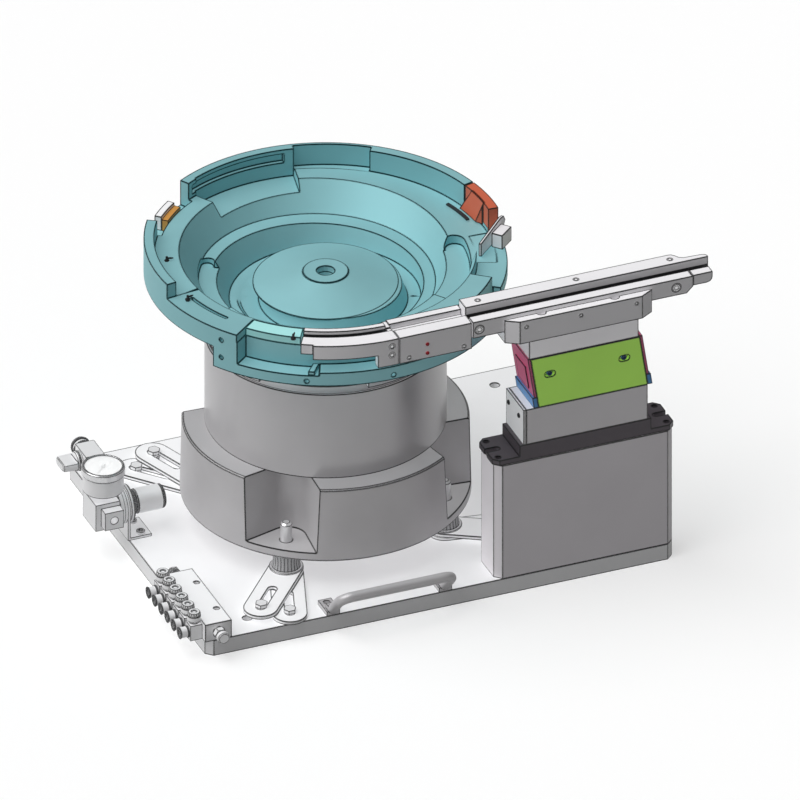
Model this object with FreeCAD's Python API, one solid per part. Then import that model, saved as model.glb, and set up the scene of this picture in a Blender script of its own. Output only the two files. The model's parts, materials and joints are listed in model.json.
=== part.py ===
import FreeCAD, Part
import os
from math import cos, radians, sin, tan

# Piezoelectric bowl feeder with a linear track, on one base plate.
# Millimetres, Z up. The origin is on the bowl's axis, at the underside of the base plate.
# +X runs along the plate towards the end of the linear track, and +Y to the back.

Vec = FreeCAD.Vector
os.makedirs("parts", exist_ok=True)

# Base plate
plate_length = 500.0
plate_width = 370.0
plate_thickness = 18.0
plate_corner = 7.0
bowl_from_plate_end = 201.5
mount_spacing_x = 393.0
mount_spacing_y = 316.0
mount_hole_r = 4.5

# Clearances
seat_gap = 0.15
shank_clearance = 0.15
motion_gap = 0.3
hinge_clearance = 0.08
transfer_gap = 1.2

# Feet of the bowl drive
foot_circle_r = 124.7
first_foot_angle = 49.65
foot_count = 4
foot_r = 17.4
foot_height = 21.8
stud_r = 6.0
stud_rise = 21.0
lug_thickness = 4.0
lug_width = 35.0
lug_reach = 80.0
lug_slot_length = 46.0
lug_slot_width = 9.0
lug_bolt_r = 4.0
lug_bolt_head_r = 6.5
lug_bolt_head_height = 4.0
lug_spread = 21.0
lug_bolt_reach = 78.0
lug_bolt_depth = 12.0
lug_turns = (-21.0, -30.0, 0.0, 10.3)
lug_slot_end = 5.0

# Bowl drive
drive_r_bottom = 144.8
drive_r_top = 143.0
drive_height = 82.5
pocket_floor = 10.0
pocket_mouth = 40.5
pocket_back = 24.0
pocket_back_width = 15.0
pocket_draft = 5.5
pocket_inset = 17.0
drive_edge = 1.5
skirt_r = 120.3
skirt_wall = 3.0
skirt_height = 97.0
counterweight_r = 104.0
counterweight_height = 16.0
top_plate_r = 114.0
top_plate_thickness = 12.0
top_plate_over_skirt = 6.0
spring_circle_r = 82.0
spring_width = 44.0
spring_thickness = 3.0
spring_lean = 12.0
clamp_height = 16.0
clamp_depth = 16.0
spring_end_gap = 1.5
piezo_thickness = 1.2
piezo_margin = 8.0

# Bowl
bowl_r = 180.7
bowl_height = 103.2
bowl_rim_depth = 61.8
bowl_rim_depth_back = 38.7
apron_width = 30.7
apron_overlap = 8.0
bowl_hub_r = 104.0
bowl_hub_height = 18.0
clamp_ring_r = 140.0
clamp_ring_height = 14.0
bowl_floor_height = 35.0
rim_wall = 10.7
thin_rim_wall = 3.4
island_r = 70.0
island_flare = 6.5
island_shift_x = 7.5
island_shift_y = -3.0
island_rise = 16.0
cone_rise = 13.0
boss_r = 23.0
boss_rise = 1.2
centre_hole_r = 8.7
bolt_recess = 14.0
track_start = 0.8
track_rise = 26.1
track_fall = 1.0

# Cut-outs of the bowl, as depths below the level end of the track and widths in from the rim
low_rim_drop = 1.4
thin_rim_drop = 8.9
insert_drop = 7.4
gate_drop = 13.4
gate_width = 14.7
gate_insert_width = 7.0
gate_insert_height = 13.0
low_rim_width = 40.7
right_rim_width = 30.7
insert_width = 20.7
ledge_drop = 34.8
ledge_width = 17.2
far_ledge_drop = 31.4
far_ledge_width = 8.7
rib_height = 4.0
rib_width = 7.0
outlet_plate_inner = 34.2
outlet_plate_outer = 16.7
outlet_plate_thickness = 10.0
drop_ledge_drop = 16.4
drop_ledge_reach = 52.0
groove_width = 6.0
groove_height = 10.0
slot_inset = 20.5
slot_width = 3.0
slot_depth = 4.0
pocket_drop = 6.0
screw_hole_r = 2.2
deflector_thickness = 3.0
deflector_reach_in = 25.9
deflector_reach_out = 6.3
deflector_bracket_depth = 12.0

# Outlet and linear track
outlet_rise = 0.15
rail_overhang = 0.8
rail_height = 30.0
outlet_length = 77.4
outlet_start = 5.6
track_length = 260.0
track_taper = 18.0
track_tip = 4.0
front_rail_width = 11.5
track_slot = 8.5
back_rail_width = 17.5
back_rail_rise = 6.0
back_tip = 7.0
track_rail_height = 18.6
track_floor_drop = 8.0
track_floor_lift = 4.0
outlet_floor_thickness = 6.0
outlet_side_gap = 1.5
curved_rail_depth = 16.0
curved_rail_width = 17.5
curved_slot = 5.5
curved_back_width = 6.5
rail_leg_length = 5.0
rail_leg_width = 9.3
rail_screw_r = 2.7
rail_head_r = 5.0
rail_head_depth = 4.0
rail_screw_drop = 9.5
rail_screw_ends = (14.0, 52.0)
top_hole_first = 32.0
top_hole_pitch = 95.0

# Linear drive and its stand
stand_length = 191.0
stand_width = 46.0
stand_height = 131.7
stand_corner = 7.0
flange_overhang = 1.5
flange_lobe = 6.0
flange_height = 18.3
flange_margin = 4.0
flange_slot_length = 15.0
flange_slot_width = 7.0
flange_hole_r = 2.7
flange_hole_in = 7.0
side_slot_length = 11.0
side_slot_width = 6.5
side_slot_places = ((17.5, 22.0), (97.0, 22.0))
drive_inset = 1.0
base_block_length = 132.8
base_block_shift = 0.8
base_block_height = 40.3
end_plate_thickness = 3.0
side_plate_length = 116.5
side_plate_height = 58.3
side_plate_thickness = 6.0
linear_lean = 8.5
linear_spring_thickness = 3.0
linear_spring_offset = 3.2
linear_clamp_height = 12.0
linear_clamp_depth = 5.0
linear_piezo_low = 18.0
linear_piezo_high = 44.0
top_block_length = 117.0
top_block_offset = 2.0
bar_length = 132.0
bar_offset = 11.0
bar_thickness = 11.9
bar_lip = 14.0
bar_reach = 9.5
bar_corner = 13.5
bar_corner_depth = 8.0


def polar(radius, angle, z=0.0):
    return Vec(radius * cos(radians(angle)), radius * sin(radians(angle)), z)


def box(x0, x1, y0, y1, z0, z1):
    return Part.makeBox(x1 - x0, y1 - y0, z1 - z0, Vec(x0, y0, z0))


def cylinder(radius, x, y, z0, z1):
    return Part.makeCylinder(radius, z1 - z0, Vec(x, y, z0))


def rod(radius, start, direction, length):
    return Part.makeCylinder(radius, length, start, direction)


def tube(outer, inner, start, direction, length):
    return rod(outer, start, direction, length).cut(rod(inner, start, direction, length))


def prism(points, thickness):
    # A closed outline of 3-D points, pushed along the given vector
    return Part.Face(Part.makePolygon(points + [points[0]])).extrude(thickness)


def prism_up(points, z0, z1):
    return prism([Vec(x, y, z0) for x, y in points], Vec(0, 0, z1 - z0))


def prism_back(points, y0, y1):
    return prism([Vec(x, y0, z) for x, z in points], Vec(0, y1 - y0, 0))


def revolve(profile, x=0.0, y=0.0):
    # Profile points are radius and height, turned about a vertical axis at x, y
    points = [Vec(x + r, y, z) for r, z in profile]
    face = Part.Face(Part.makePolygon(points + [points[0]]))
    return face.revolve(Vec(x, y, 0), Vec(0, 0, 1), 360)


def ring_sector(r0, r1, z0, z1, start, end):
    profile = [Vec(r0, 0, z0), Vec(r1, 0, z0), Vec(r1, 0, z1), Vec(r0, 0, z1)]
    face = Part.Face(Part.makePolygon(profile + [profile[0]]))
    sector = face.revolve(Vec(0, 0, 0), Vec(0, 0, 1), end - start)
    sector.rotate(Vec(0, 0, 0), Vec(0, 0, 1), start)
    return sector


def turned(shape, angle, centre=Vec(0, 0, 0), axis=Vec(0, 0, 1)):
    copy = shape.copy()
    copy.rotate(centre, axis, angle)
    return copy


def fuse_all(shapes):
    whole = shapes[0]
    for shape in shapes[1:]:
        whole = whole.fuse(shape)
    return whole.removeSplitter()


def chamfered_block(x0, x1, y0, y1, z0, z1, corner):
    outline = [(x0 + corner, y0), (x1 - corner, y0), (x1, y0 + corner), (x1, y1 - corner),
               (x1 - corner, y1), (x0 + corner, y1), (x0, y1 - corner), (x0, y0 + corner)]
    return prism_up(outline, z0, z1)


def polygon_prism(sides, radius, x, y, z0, z1):
    corners = [polar(radius, 360.0 * i / sides) for i in range(sides)]
    return prism_up([(x + corner.x, y + corner.y) for corner in corners], z0, z1)


def ribbed_prism(ribs, radius, depth, x, y, z0, z1):
    # A knob outline with flat ribs and grooves round it
    points = []
    for i in range(2 * ribs):
        corner = polar(radius - depth * (i % 2), 180.0 * i / ribs)
        points.append((x + corner.x, y + corner.y))
    return prism_up(points, z0, z1)


def slot_prism(length, width, z0, z1):
    # A slot along X, centred on the origin, with round ends
    half = length / 2 - width / 2
    straight = box(-half, half, -width / 2, width / 2, z0, z1)
    return fuse_all([straight] + [cylinder(width / 2, x, 0, z0, z1) for x in (-half, half)])


def save(name, shapes):
    solids = shapes if isinstance(shapes, list) else [shapes]
    flat = [solid for shape in solids for solid in shape.Solids]
    whole = flat[0] if len(flat) == 1 else Part.makeCompound(flat)
    whole.exportStep("parts/" + name + ".step")
    print(name, len(flat), round(sum(solid.Volume for solid in flat)), whole.isValid())


# Heights that follow from the sizes above
plate_top = plate_thickness
drive_bottom = plate_top + 2 * lug_thickness + foot_height
drive_top = drive_bottom + drive_height
skirt_top = drive_top + skirt_height
top_plate_z1 = skirt_top + top_plate_over_skirt
top_plate_z0 = top_plate_z1 - top_plate_thickness
bowl_bottom = top_plate_z1
bowl_top = bowl_bottom + bowl_height
plate_x0 = -bowl_from_plate_end
plate_x1 = plate_x0 + plate_length
plate_y0 = -plate_width / 2
plate_mid_x = (plate_x0 + plate_x1) / 2
floor_top = bowl_bottom + bowl_floor_height
foot_angles = [first_foot_angle + 360.0 / foot_count * i for i in range(foot_count)]
lug_angles = [(angle + turn, angle + turn + lug_spread) for angle, turn in zip(foot_angles, lug_turns)]


def make_base_plate():
    plate = chamfered_block(plate_x0, plate_x1, plate_y0, -plate_y0, 0, plate_thickness, plate_corner)
    for sx in (-0.5, 0.5):
        for sy in (-0.5, 0.5):
            x = plate_mid_x + sx * mount_spacing_x
            plate = plate.cut(cylinder(mount_hole_r, x, sy * mount_spacing_y, -1, plate_top + 1))
    for x, y in lug_bolt_places():
        hole_r = lug_bolt_r + shank_clearance
        plate = plate.cut(cylinder(hole_r, x, y, plate_top - lug_bolt_depth - 2, plate_top + 1))
    return plate


def lug_bolt_places():
    places = []
    for angle, pair in zip(foot_angles, lug_angles):
        stud = polar(foot_circle_r, angle)
        for direction in pair:
            centre = stud + polar(lug_bolt_reach, direction)
            places.append((centre.x, centre.y))
    return places


def make_lug(stud, direction, z0):
    # A flat bar with round ends, a hole for the stud and a slot for the clamping bolt
    bar = slot_prism(lug_reach + lug_width, lug_width, z0, z0 + lug_thickness)
    bar.translate(Vec(lug_reach / 2, 0, 0))
    slot = slot_prism(lug_slot_length, lug_slot_width, z0 - 1, z0 + lug_thickness + 1)
    slot.translate(Vec(lug_reach - lug_slot_length / 2 + lug_slot_end, 0, 0))
    hole = cylinder(stud_r + shank_clearance, 0, 0, z0 - 1, z0 + lug_thickness + 1)
    lug = turned(bar.cut(slot).cut(hole), direction)
    lug.translate(stud)
    return lug


def make_feet():
    feet, studs, lugs, bolts = [], [], [], []
    lug_top = plate_top + 2 * lug_thickness
    for angle, pair in zip(foot_angles, lug_angles):
        stud = polar(foot_circle_r, angle)
        feet.append(tube(foot_r, stud_r + shank_clearance, stud + Vec(0, 0, lug_top),
                         Vec(0, 0, 1), foot_height))
        top = drive_bottom + pocket_floor + stud_rise
        dome = stud_r * 0.4
        studs.append(revolve([(0, plate_top), (stud_r, plate_top), (stud_r, top - dome),
                              (stud_r - dome, top), (0, top)], stud.x, stud.y))
        lugs.append(make_lug(stud, pair[0], plate_top + lug_thickness))
        lugs.append(make_lug(stud, pair[1], plate_top))
    for index, (x, y) in enumerate(lug_bolt_places()):
        seat = plate_top + (2 - index % 2) * lug_thickness
        bolt = cylinder(lug_bolt_r, x, y, plate_top - lug_bolt_depth, seat)
        bolt = bolt.fuse(polygon_prism(6, lug_bolt_head_r, x, y, seat, seat + lug_bolt_head_height))
        if index % 2 == 0:
            bolt = bolt.fuse(polygon_prism(6, lug_bolt_head_r, x, y, plate_top, seat - lug_thickness))
        bolts.append(bolt.removeSplitter())
    return feet, studs, lugs, bolts


def at_angle(radial, across, angle):
    # A point given along and across a radius that stands at the angle
    return polar(radial, angle) + polar(across, angle + 90.0)


def pocket_outline(angle, z, grow):
    # The back is an arc round the foot, and the mouth reaches past the outer wall of the casting
    axis = polar(foot_circle_r, angle, z)
    reach = max(drive_r_bottom, drive_r_top) - foot_circle_r + pocket_inset / 2
    slope = (pocket_mouth - pocket_back_width) / (drive_r_bottom - foot_circle_r + pocket_inset)
    mouth = pocket_mouth + slope * pocket_inset / 2 + grow
    side = pocket_back_width + grow / 3
    left = axis + at_angle(-pocket_inset, -side, angle)
    deep = axis + at_angle(-pocket_back - grow / 3, 0, angle)
    right = axis + at_angle(-pocket_inset, side, angle)
    far_right = axis + at_angle(reach, mouth, angle)
    far_left = axis + at_angle(reach, -mouth, angle)
    edges = [Part.Arc(left, deep, right).toShape(), Part.LineSegment(right, far_right).toShape(),
             Part.LineSegment(far_right, far_left).toShape(), Part.LineSegment(far_left, left).toShape()]
    return Part.Wire(edges)


def make_drive_base():
    # Cast ring with draft, and four drafted pockets that open outwards above the feet
    body = revolve([(0, drive_bottom), (drive_r_bottom - drive_edge, drive_bottom),
                    (drive_r_bottom, drive_bottom + drive_edge), (drive_r_top, drive_top - drive_edge),
                    (drive_r_top - drive_edge, drive_top), (0, drive_top)])
    floor = drive_bottom + pocket_floor
    for angle in foot_angles:
        low = pocket_outline(angle, floor, 0.0)
        high = pocket_outline(angle, drive_top + 1.0, pocket_draft)
        body = body.cut(Part.makeLoft([low, high], True, True))
        stud = polar(foot_circle_r, angle)
        body = body.cut(cylinder(stud_r + shank_clearance, stud.x, stud.y, drive_bottom - 1, floor + 1))
    return body


def make_skirt():
    inner = skirt_r - skirt_wall
    return tube(skirt_r, inner, Vec(0, 0, drive_top), Vec(0, 0, 1), skirt_height)


def leaf_side(y0, y1, low_z, high_z):
    # Side view of a leaf spring between its clamps, from the lower to the upper end
    back0, back1 = y0 - spring_thickness, y1 - spring_thickness
    bend0, bend1 = low_z + clamp_height, high_z
    end0, end1 = low_z + spring_end_gap, high_z + clamp_height - spring_end_gap
    return [(back0, end0), (y0, end0), (y0, bend0), (y1, bend1), (y1, end1), (back1, end1),
            (back1, bend1), (back0, bend0)]


def prism_across(side, x0, x1):
    return prism([Vec(x0, y, z) for y, z in side], Vec(x1 - x0, 0, 0))


def make_drive_springs():
    # Leaf springs that lean one way round the axis, each between two clamp blocks
    low, high, leaves, piezos = [], [], [], []
    low_z = drive_top + counterweight_height
    high_z = top_plate_z0 - motion_gap - clamp_height
    span = high_z - low_z - clamp_height
    y1 = span * tan(radians(spring_lean)) / 2
    y0 = -y1
    r0 = spring_circle_r - spring_width / 2
    r1 = spring_circle_r + spring_width / 2
    quarter, near, far = span / 4, y0 + (y1 - y0) / 4, y0 + (y1 - y0) * 3 / 4
    za, zb = low_z + clamp_height + quarter, high_z - quarter
    for index in range(foot_count):
        angle = first_foot_angle + 180.0 / foot_count + 360.0 / foot_count * index
        low.append(turned(box(r0, r1, y0, y0 + clamp_depth, low_z, low_z + clamp_height), angle))
        high.append(turned(box(r0, r1, y1, y1 + clamp_depth, high_z, high_z + clamp_height), angle))
        leaf = prism_across(leaf_side(y0, y1, low_z, high_z), r0 + spring_end_gap, r1 - spring_end_gap)
        leaves.append(turned(leaf, angle))
        for side in (0.0, -spring_thickness - piezo_thickness):
            wafer = [(near + side, za), (near + side + piezo_thickness, za),
                     (far + side + piezo_thickness, zb), (far + side, zb)]
            piezos.append(turned(prism_across(wafer, r0 + piezo_margin, r1 - piezo_margin), angle))
    return low, high, leaves, piezos


def make_counterweight():
    return cylinder(counterweight_r, 0, 0, drive_top, drive_top + counterweight_height)


def make_top_plate():
    plate = cylinder(top_plate_r, 0, 0, top_plate_z0, top_plate_z1)
    return plate.cut(cylinder(centre_hole_r, 0, 0, top_plate_z0 - 1, top_plate_z1 + 1))


# Spiral track of the bowl. Each quarter turn gives the inner and outer edge of the track, as shares
# of the bowl's radius. The angle is counted from the right of the bowl as seen from its outlet side.
spiral_turn_start = -22.05
spiral_level_end = 902.0
spiral_floor_end = 180.0
spiral_stations = [(0.479, 0.526), (0.481, 0.526), (0.487, 0.531), (0.509, 0.564), (0.537, 0.603),
                   (0.581, 0.686), (0.625, 0.697), (0.659, 0.714), (0.690, 0.802),
                   (0.819, 0.908), (0.805, 0.880), (0.808, 0.885), (0.830, 0.902)]


def spiral_radii(travel):
    # Smooth course of both track edges through the quarter-turn stations
    last = len(spiral_stations) - 1
    place = min(max(travel / 90.0, 0.0), last - 0.001)
    index = int(place)
    part = place - index
    near = [spiral_stations[min(max(index + step, 0), last)] for step in (-1, 0, 1, 2)]
    edges = []
    for side in (0, 1):
        before, start, end, after = [station[side] for station in near]
        bend = 2 * before - 5 * start + 4 * end - after
        twist = 3 * start - before - 3 * end + after
        edges.append(bowl_r * (start + 0.5 * part * (end - before + part * (bend + part * twist))))
    return edges


def spiral_height(travel):
    climb = min(max(travel, spiral_floor_end), spiral_level_end) - spiral_floor_end
    return floor_top + track_start + track_rise * climb / 360.0


# The outlet and the track follow from the level end of the spiral
outlet_level = spiral_height(spiral_level_end)
rail_top = outlet_level + outlet_rise
rail_y0 = -bowl_r - rail_overhang
rail_y1 = rail_y0 + front_rail_width
rail_y2 = rail_y1 + track_slot
rail_y3 = rail_y2 + back_rail_width
track_x0 = outlet_start + outlet_length + transfer_gap
rail_bottom = rail_top - track_rail_height
bar_bottom = rail_bottom - seat_gap - bar_thickness
stand_x = plate_x1 - stand_length / 2
stand_top = plate_top + stand_height
block_x1 = stand_x + base_block_length / 2 + base_block_shift


def hollow_section(angle):
    # Radial section of the space inside the bowl: floor, three terraces of the spiral, and the rim
    tracks = [(spiral_radii(angle + turn), spiral_height(angle + turn)) for turn in (0, 360, 720)]
    centre = island_r * 0.7
    points = [(centre, floor_top), (tracks[0][0][0] - 3, floor_top)]
    for (inner, outer), height in tracks:
        points += [(inner, height), (outer, height - track_fall)]
    top_height = tracks[2][1] - track_fall
    points += [(bowl_r - rim_wall, top_height), (bowl_r - rim_wall, bowl_top + 2), (centre, bowl_top + 2)]
    placed = [polar(r, angle + spiral_turn_start, z) for r, z in points]
    return Part.makePolygon(placed + [placed[0]])


def bowl_angle(angle):
    return angle + spiral_turn_start


def cut_sector(body, r0, r1, z0, z1, start, end):
    return body.cut(ring_sector(r0, r1, z0, z1, bowl_angle(start), bowl_angle(end)))


def make_hollow():
    # The spiral hollow is lofted a quarter turn at a time, so each track keeps an even climb
    quarters = []
    for quarter in range(4):
        sections = [hollow_section(90.0 * quarter + 22.5 * step) for step in range(5)]
        quarters.append(Part.makeLoft(sections, True, False))
    return fuse_all(quarters)


def make_island():
    # The raised cone at the centre, with a drafted wall that stands off the bowl's axis
    shift = polar(island_shift_x, spiral_turn_start) + polar(-island_shift_y, spiral_turn_start - 90.0)
    edge = floor_top + island_rise
    top = edge + cone_rise + boss_rise
    foot = bowl_bottom + bowl_floor_height / 7
    cone = revolve([(0, foot), (island_r * 1.4, foot), (island_r * 1.4, edge - island_rise / 4),
                    (boss_r, edge + cone_rise), (boss_r, top), (0, top)])
    draft = island_flare / island_rise
    sink = island_rise / 2
    wall = Part.makeCone(island_r + island_flare / 2 + draft * sink, island_r - island_flare * 0.6,
                         2 * island_rise, Vec(shift.x, shift.y, floor_top - sink))
    return cone.common(wall)


def make_bowl():
    under = bowl_top - bowl_rim_depth_back
    blank = revolve([(0, bowl_bottom), (bowl_hub_r, bowl_bottom),
                     (bowl_hub_r, bowl_bottom + bowl_hub_height), (bowl_r, under),
                     (bowl_r, bowl_top), (0, bowl_top)])
    # The rim hangs lower on the outlet side
    apron = ring_sector(bowl_r - apron_width, bowl_r, bowl_top - bowl_rim_depth, under + apron_overlap,
                        bowl_angle(231.8), bowl_angle(344.5))
    blank = blank.fuse(apron).removeSplitter()
    blank = blank.cut(cylinder(island_r * 0.85, 0, 0, floor_top + 3, bowl_top + 1))
    bowl = blank.cut(make_hollow()).fuse(make_island()).removeSplitter()
    bowl = bowl.cut(cylinder(centre_hole_r, 0, 0, bowl_bottom - 1, bowl_top))
    return cut_outlet(cut_pockets(cut_rim(bowl))).removeSplitter()


def cut_band(body, inset0, inset1, drop, start, end):
    # Cuts a sector of the rim down to a depth below the level end of the track
    return cut_sector(body, bowl_r - inset0, bowl_r - inset1, outlet_level - drop, bowl_top + 5.0, start, end)


def cut_rim(bowl):
    past = -5.0
    # Thin rim at the back
    bowl = cut_band(bowl, rim_wall + 1, thin_rim_wall, thin_rim_drop, 75.2, 100.6)
    # Opening for the gate at the left back
    bowl = cut_band(bowl, gate_width, past, gate_drop, 143.0, 169.0)
    # Lowered rim at the left front and down to the outlet, and at the right
    bowl = cut_band(bowl, low_rim_width, past, low_rim_drop, 209.4, 345.0)
    bowl = cut_band(bowl, right_rim_width, past, gate_drop, 344.0, 378.8)
    # Seat of the track insert
    bowl = cut_band(bowl, insert_width, past, insert_drop, 378.5, 396.0)
    # Recess below the outlet plate, with a ledge in two levels
    bowl = cut_band(bowl, ledge_width, past, ledge_drop, 241.0, 268.0)
    bowl = cut_band(bowl, ledge_width, past, far_ledge_drop, 267.9, 288.0)
    bowl = cut_band(bowl, far_ledge_width, past, far_ledge_drop, 287.9, 344.5)
    # Seat of the outlet plate, and the slot behind it
    bowl = cut_band(bowl, outlet_plate_inner, past, outlet_plate_thickness, 240.8, 262.2)
    return cut_band(bowl, slot_inset + slot_width, slot_inset, low_rim_drop + slot_depth, 213.0, 232.0)


def cut_pockets(bowl):
    # A lower ledge at the left back, where parts drop and turn over, below a groove in the rim
    bowl = cut_band(bowl, drop_ledge_reach, rim_wall - 1.5, drop_ledge_drop, 100.6, 139.0)
    top = bowl_top - groove_height / 2
    bowl = cut_sector(bowl, bowl_r - rim_wall - 1, bowl_r - rim_wall + groove_width, top - groove_height, top,
                      104.0, 141.0)
    # Shallow pockets with a round end, which let wrong parts fall back
    for turn, start, end, side in ((720, -28.0, 17.0, 0.5), (360, 168.0, 216.0, 0.55)):
        inner, outer = spiral_radii(turn + (start + end) / 2)
        middle = (inner + outer) / 2
        half = (outer - inner) * side
        level = spiral_height(turn + start) - track_fall - pocket_drop
        bowl = cut_sector(bowl, middle - 2 * half, middle + half, level, bowl_top, start, end)
        round_end = polar(middle, bowl_angle(end if turn == 720 else start))
        bowl = bowl.cut(cylinder(half, round_end.x, round_end.y, level, bowl_top))
    return bowl


def cut_outlet(bowl):
    # Flat seat for the straight outlet rails, a round one for the curved rails, and screw holes
    outside = bowl_r + 5.0
    x0 = outlet_start - seat_gap
    depth = rail_top - rail_height - seat_gap
    bowl = bowl.cut(box(x0, outside, -outside, rail_y3 + outlet_side_gap, depth, bowl_top + 1))
    inner = bowl_r + rail_overhang - curved_rail_width - curved_slot - curved_back_width - seat_gap
    bowl = cut_sector(bowl, inner, outside, rail_top - curved_rail_depth - seat_gap, bowl_top + 1,
                      261.7, 270.5 - spiral_turn_start)
    for angle, drop in ((235.0, 13.0), (235.0, 33.0), (264.0, 41.5), (292.0, 41.5)):
        start = polar(bowl_r - 8.0, bowl_angle(angle), outlet_level - drop)
        bowl = bowl.cut(rod(screw_hole_r, start, polar(1.0, bowl_angle(angle)), 12.0))
    return bowl


def make_centre_bolt():
    seat = floor_top + island_rise + cone_rise + boss_rise - bolt_recess
    return cylinder(centre_hole_r - shank_clearance, 0, 0, top_plate_z0 + 2, seat)


def make_bowl_clamps():
    # Blocks below the rim that tie the bowl to the drive's top plate
    clamps = []
    for start, end in ((226.0, 238.0), (290.0, 318.0), (46.0, 58.0), (110.0, 138.0)):
        clamps.append(ring_sector(bowl_hub_r + seat_gap, clamp_ring_r, bowl_bottom,
                                  bowl_bottom + clamp_ring_height, bowl_angle(start), bowl_angle(end)))
    return clamps


def make_track_insert():
    # The wear insert fills its seat in the rim, with a bevelled end towards the lowered rim
    seat = outlet_level - insert_drop
    insert = ring_sector(bowl_r - insert_width + seat_gap, bowl_r, seat, bowl_top,
                         bowl_angle(379.0), bowl_angle(395.5))
    return cut_sector(insert, bowl_r - insert_width, bowl_r - rim_wall, seat + insert_drop, bowl_top + 1,
                      378.0, 386.0)


def make_gate_parts():
    seat = outlet_level - gate_drop
    split = bowl_r - gate_width + gate_insert_width
    insert = ring_sector(bowl_r - gate_width + seat_gap, split, seat, seat + gate_insert_height,
                         bowl_angle(150.0), bowl_angle(160.0))
    block = ring_sector(split + seat_gap, bowl_r, seat, seat + gate_insert_height + 3.0,
                        bowl_angle(150.0), bowl_angle(160.0))
    return insert, block


def make_outlet_plate():
    # The light track plate before the rails, let into the rim
    return ring_sector(bowl_r - outlet_plate_inner + seat_gap, bowl_r - outlet_plate_outer,
                       outlet_level - outlet_plate_thickness, outlet_level - low_rim_drop,
                       bowl_angle(241.0), bowl_angle(261.4))


def make_ledge_rib():
    # A slanting rib that stops parts on the lower ledge
    base = outlet_level - ledge_drop
    outer, inner = bowl_r - 1.0, bowl_r - ledge_width + seat_gap
    near, far = bowl_angle(264.4), bowl_angle(266.6)
    corners = [polar(outer, near), polar(outer, near + 2.2), polar(inner, far + 1.2), polar(inner, far - 1.0)]
    return prism_up([(corner.x, corner.y) for corner in corners], base, base + rib_height)


def make_deflector():
    # A flat plate that leans over the lowered rim, on a bracket behind it
    base = outlet_level - gate_drop
    start = polar(bowl_r - deflector_reach_in, bowl_angle(3.5))
    end = polar(bowl_r + deflector_reach_out, bowl_angle(17.5))
    along = (end - start).normalize()
    across = Vec(-along.y, along.x, 0)
    length = (end - start).Length

    def point(distance, height):
        return start + along * distance + Vec(0, 0, base + height)

    outline = [point(0, 0.5), point(length * 0.6, 2.0), point(length - 4, 9.0), point(length, 15.0),
               point(length - 3, 21.0), point(length - 9, 22.0), point(0, 15.0)]
    plate = prism(outline, across * deflector_thickness)
    foot = start + along * (length * 0.42) - across * (deflector_bracket_depth + seat_gap)
    corners = [foot, foot + along * 20.0, foot + along * 20.0 + across * deflector_bracket_depth,
               foot + across * deflector_bracket_depth]
    bracket = prism_up([(corner.x, corner.y) for corner in corners], base, base + 16.0)
    return plate, bracket


def make_curved_rails():
    # Two rails follow the rim from the outlet plate to the straight outlet
    outer = bowl_r + rail_overhang
    inner = outer - curved_rail_width
    floor = rail_top - curved_rail_depth
    front = ring_sector(inner, outer, floor, rail_top, bowl_angle(262.0), 270.0)
    leg = box(0, rail_leg_length, rail_y0, rail_y0 + rail_leg_width, rail_top - rail_height, rail_top)
    back = ring_sector(inner - curved_slot - curved_back_width, inner - curved_slot, floor,
                       rail_top + back_rail_rise, bowl_angle(262.0), 270.0)
    bed = ring_sector(inner - curved_slot, inner, floor, rail_top - track_floor_drop,
                      bowl_angle(262.0), 270.0)
    return fuse_all([front, leg, bed, back])


def make_outlet_rails():
    x0 = outlet_start
    x1 = x0 + outlet_length
    z0 = rail_top - rail_height
    front = box(x0, x1, rail_y0, rail_y1, z0, rail_top)
    shelf = rail_top - track_floor_drop
    floor = box(x0, x1, rail_y1, rail_y2, shelf - outlet_floor_thickness, shelf)
    back = box(x0, x1, rail_y2, rail_y3, z0, rail_top + back_rail_rise)
    return front.fuse(floor).removeSplitter(), back


def make_track_rails():
    x0 = track_x0
    x1 = x0 + track_length
    taper = track_taper
    front = prism_up([(x0, rail_y0), (x1 - taper, rail_y0), (x1, rail_y1 - track_tip), (x1, rail_y1),
                      (x0, rail_y1)], rail_bottom, rail_top)
    back = prism_up([(x0, rail_y2), (x1, rail_y2), (x1, rail_y2 + back_tip), (x1 - 2 * taper, rail_y3),
                     (x0, rail_y3)], rail_bottom, rail_top + back_rail_rise)
    floor = box(x0, x1 - track_tip, rail_y1 + seat_gap, rail_y2 - seat_gap, rail_bottom + track_floor_lift,
                rail_top - track_floor_drop)
    first, last = rail_screw_ends
    for x in (x0 + first, x1 - last):
        start = Vec(x, rail_y0 - 1, rail_top - rail_screw_drop)
        front = front.cut(rod(rail_head_r, start, Vec(0, 1, 0), rail_head_depth + 1))
        front = front.cut(rod(rail_screw_r, start, Vec(0, 1, 0), front_rail_width + 2))
    for step in range(3):
        x = x0 + top_hole_first + top_hole_pitch * step
        y = (rail_y2 + rail_y3) / 2
        back = back.cut(cylinder(rail_screw_r, x, y, rail_bottom - 1, rail_top + back_rail_rise + 1))
    return front, back, floor


def linear_lean_shift(height):
    return height * tan(radians(linear_lean))


def top_block_x0():
    return block_x1 - side_plate_length - linear_lean_shift(side_plate_height) - top_block_offset


def make_support_bar():
    # Carries the rails, with a lip in front of them and bevelled ends
    x0 = top_block_x0() - bar_offset
    x1 = x0 + bar_length
    y0 = rail_y0 - bar_reach
    lip_y = rail_y0 - seat_gap
    shoulder = y0 + bar_corner_depth
    front = [(x0 + bar_corner, y0), (x1 - bar_corner, y0), (x1, shoulder)]
    bed = prism_up(front + [(x1, rail_y3), (x0, rail_y3), (x0, shoulder)], bar_bottom, rail_bottom - seat_gap)
    lip = prism_up(front + [(x1, lip_y), (x0, lip_y), (x0, shoulder)], bar_bottom, rail_bottom + bar_lip)
    return fuse_all([bed, lip])


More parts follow.
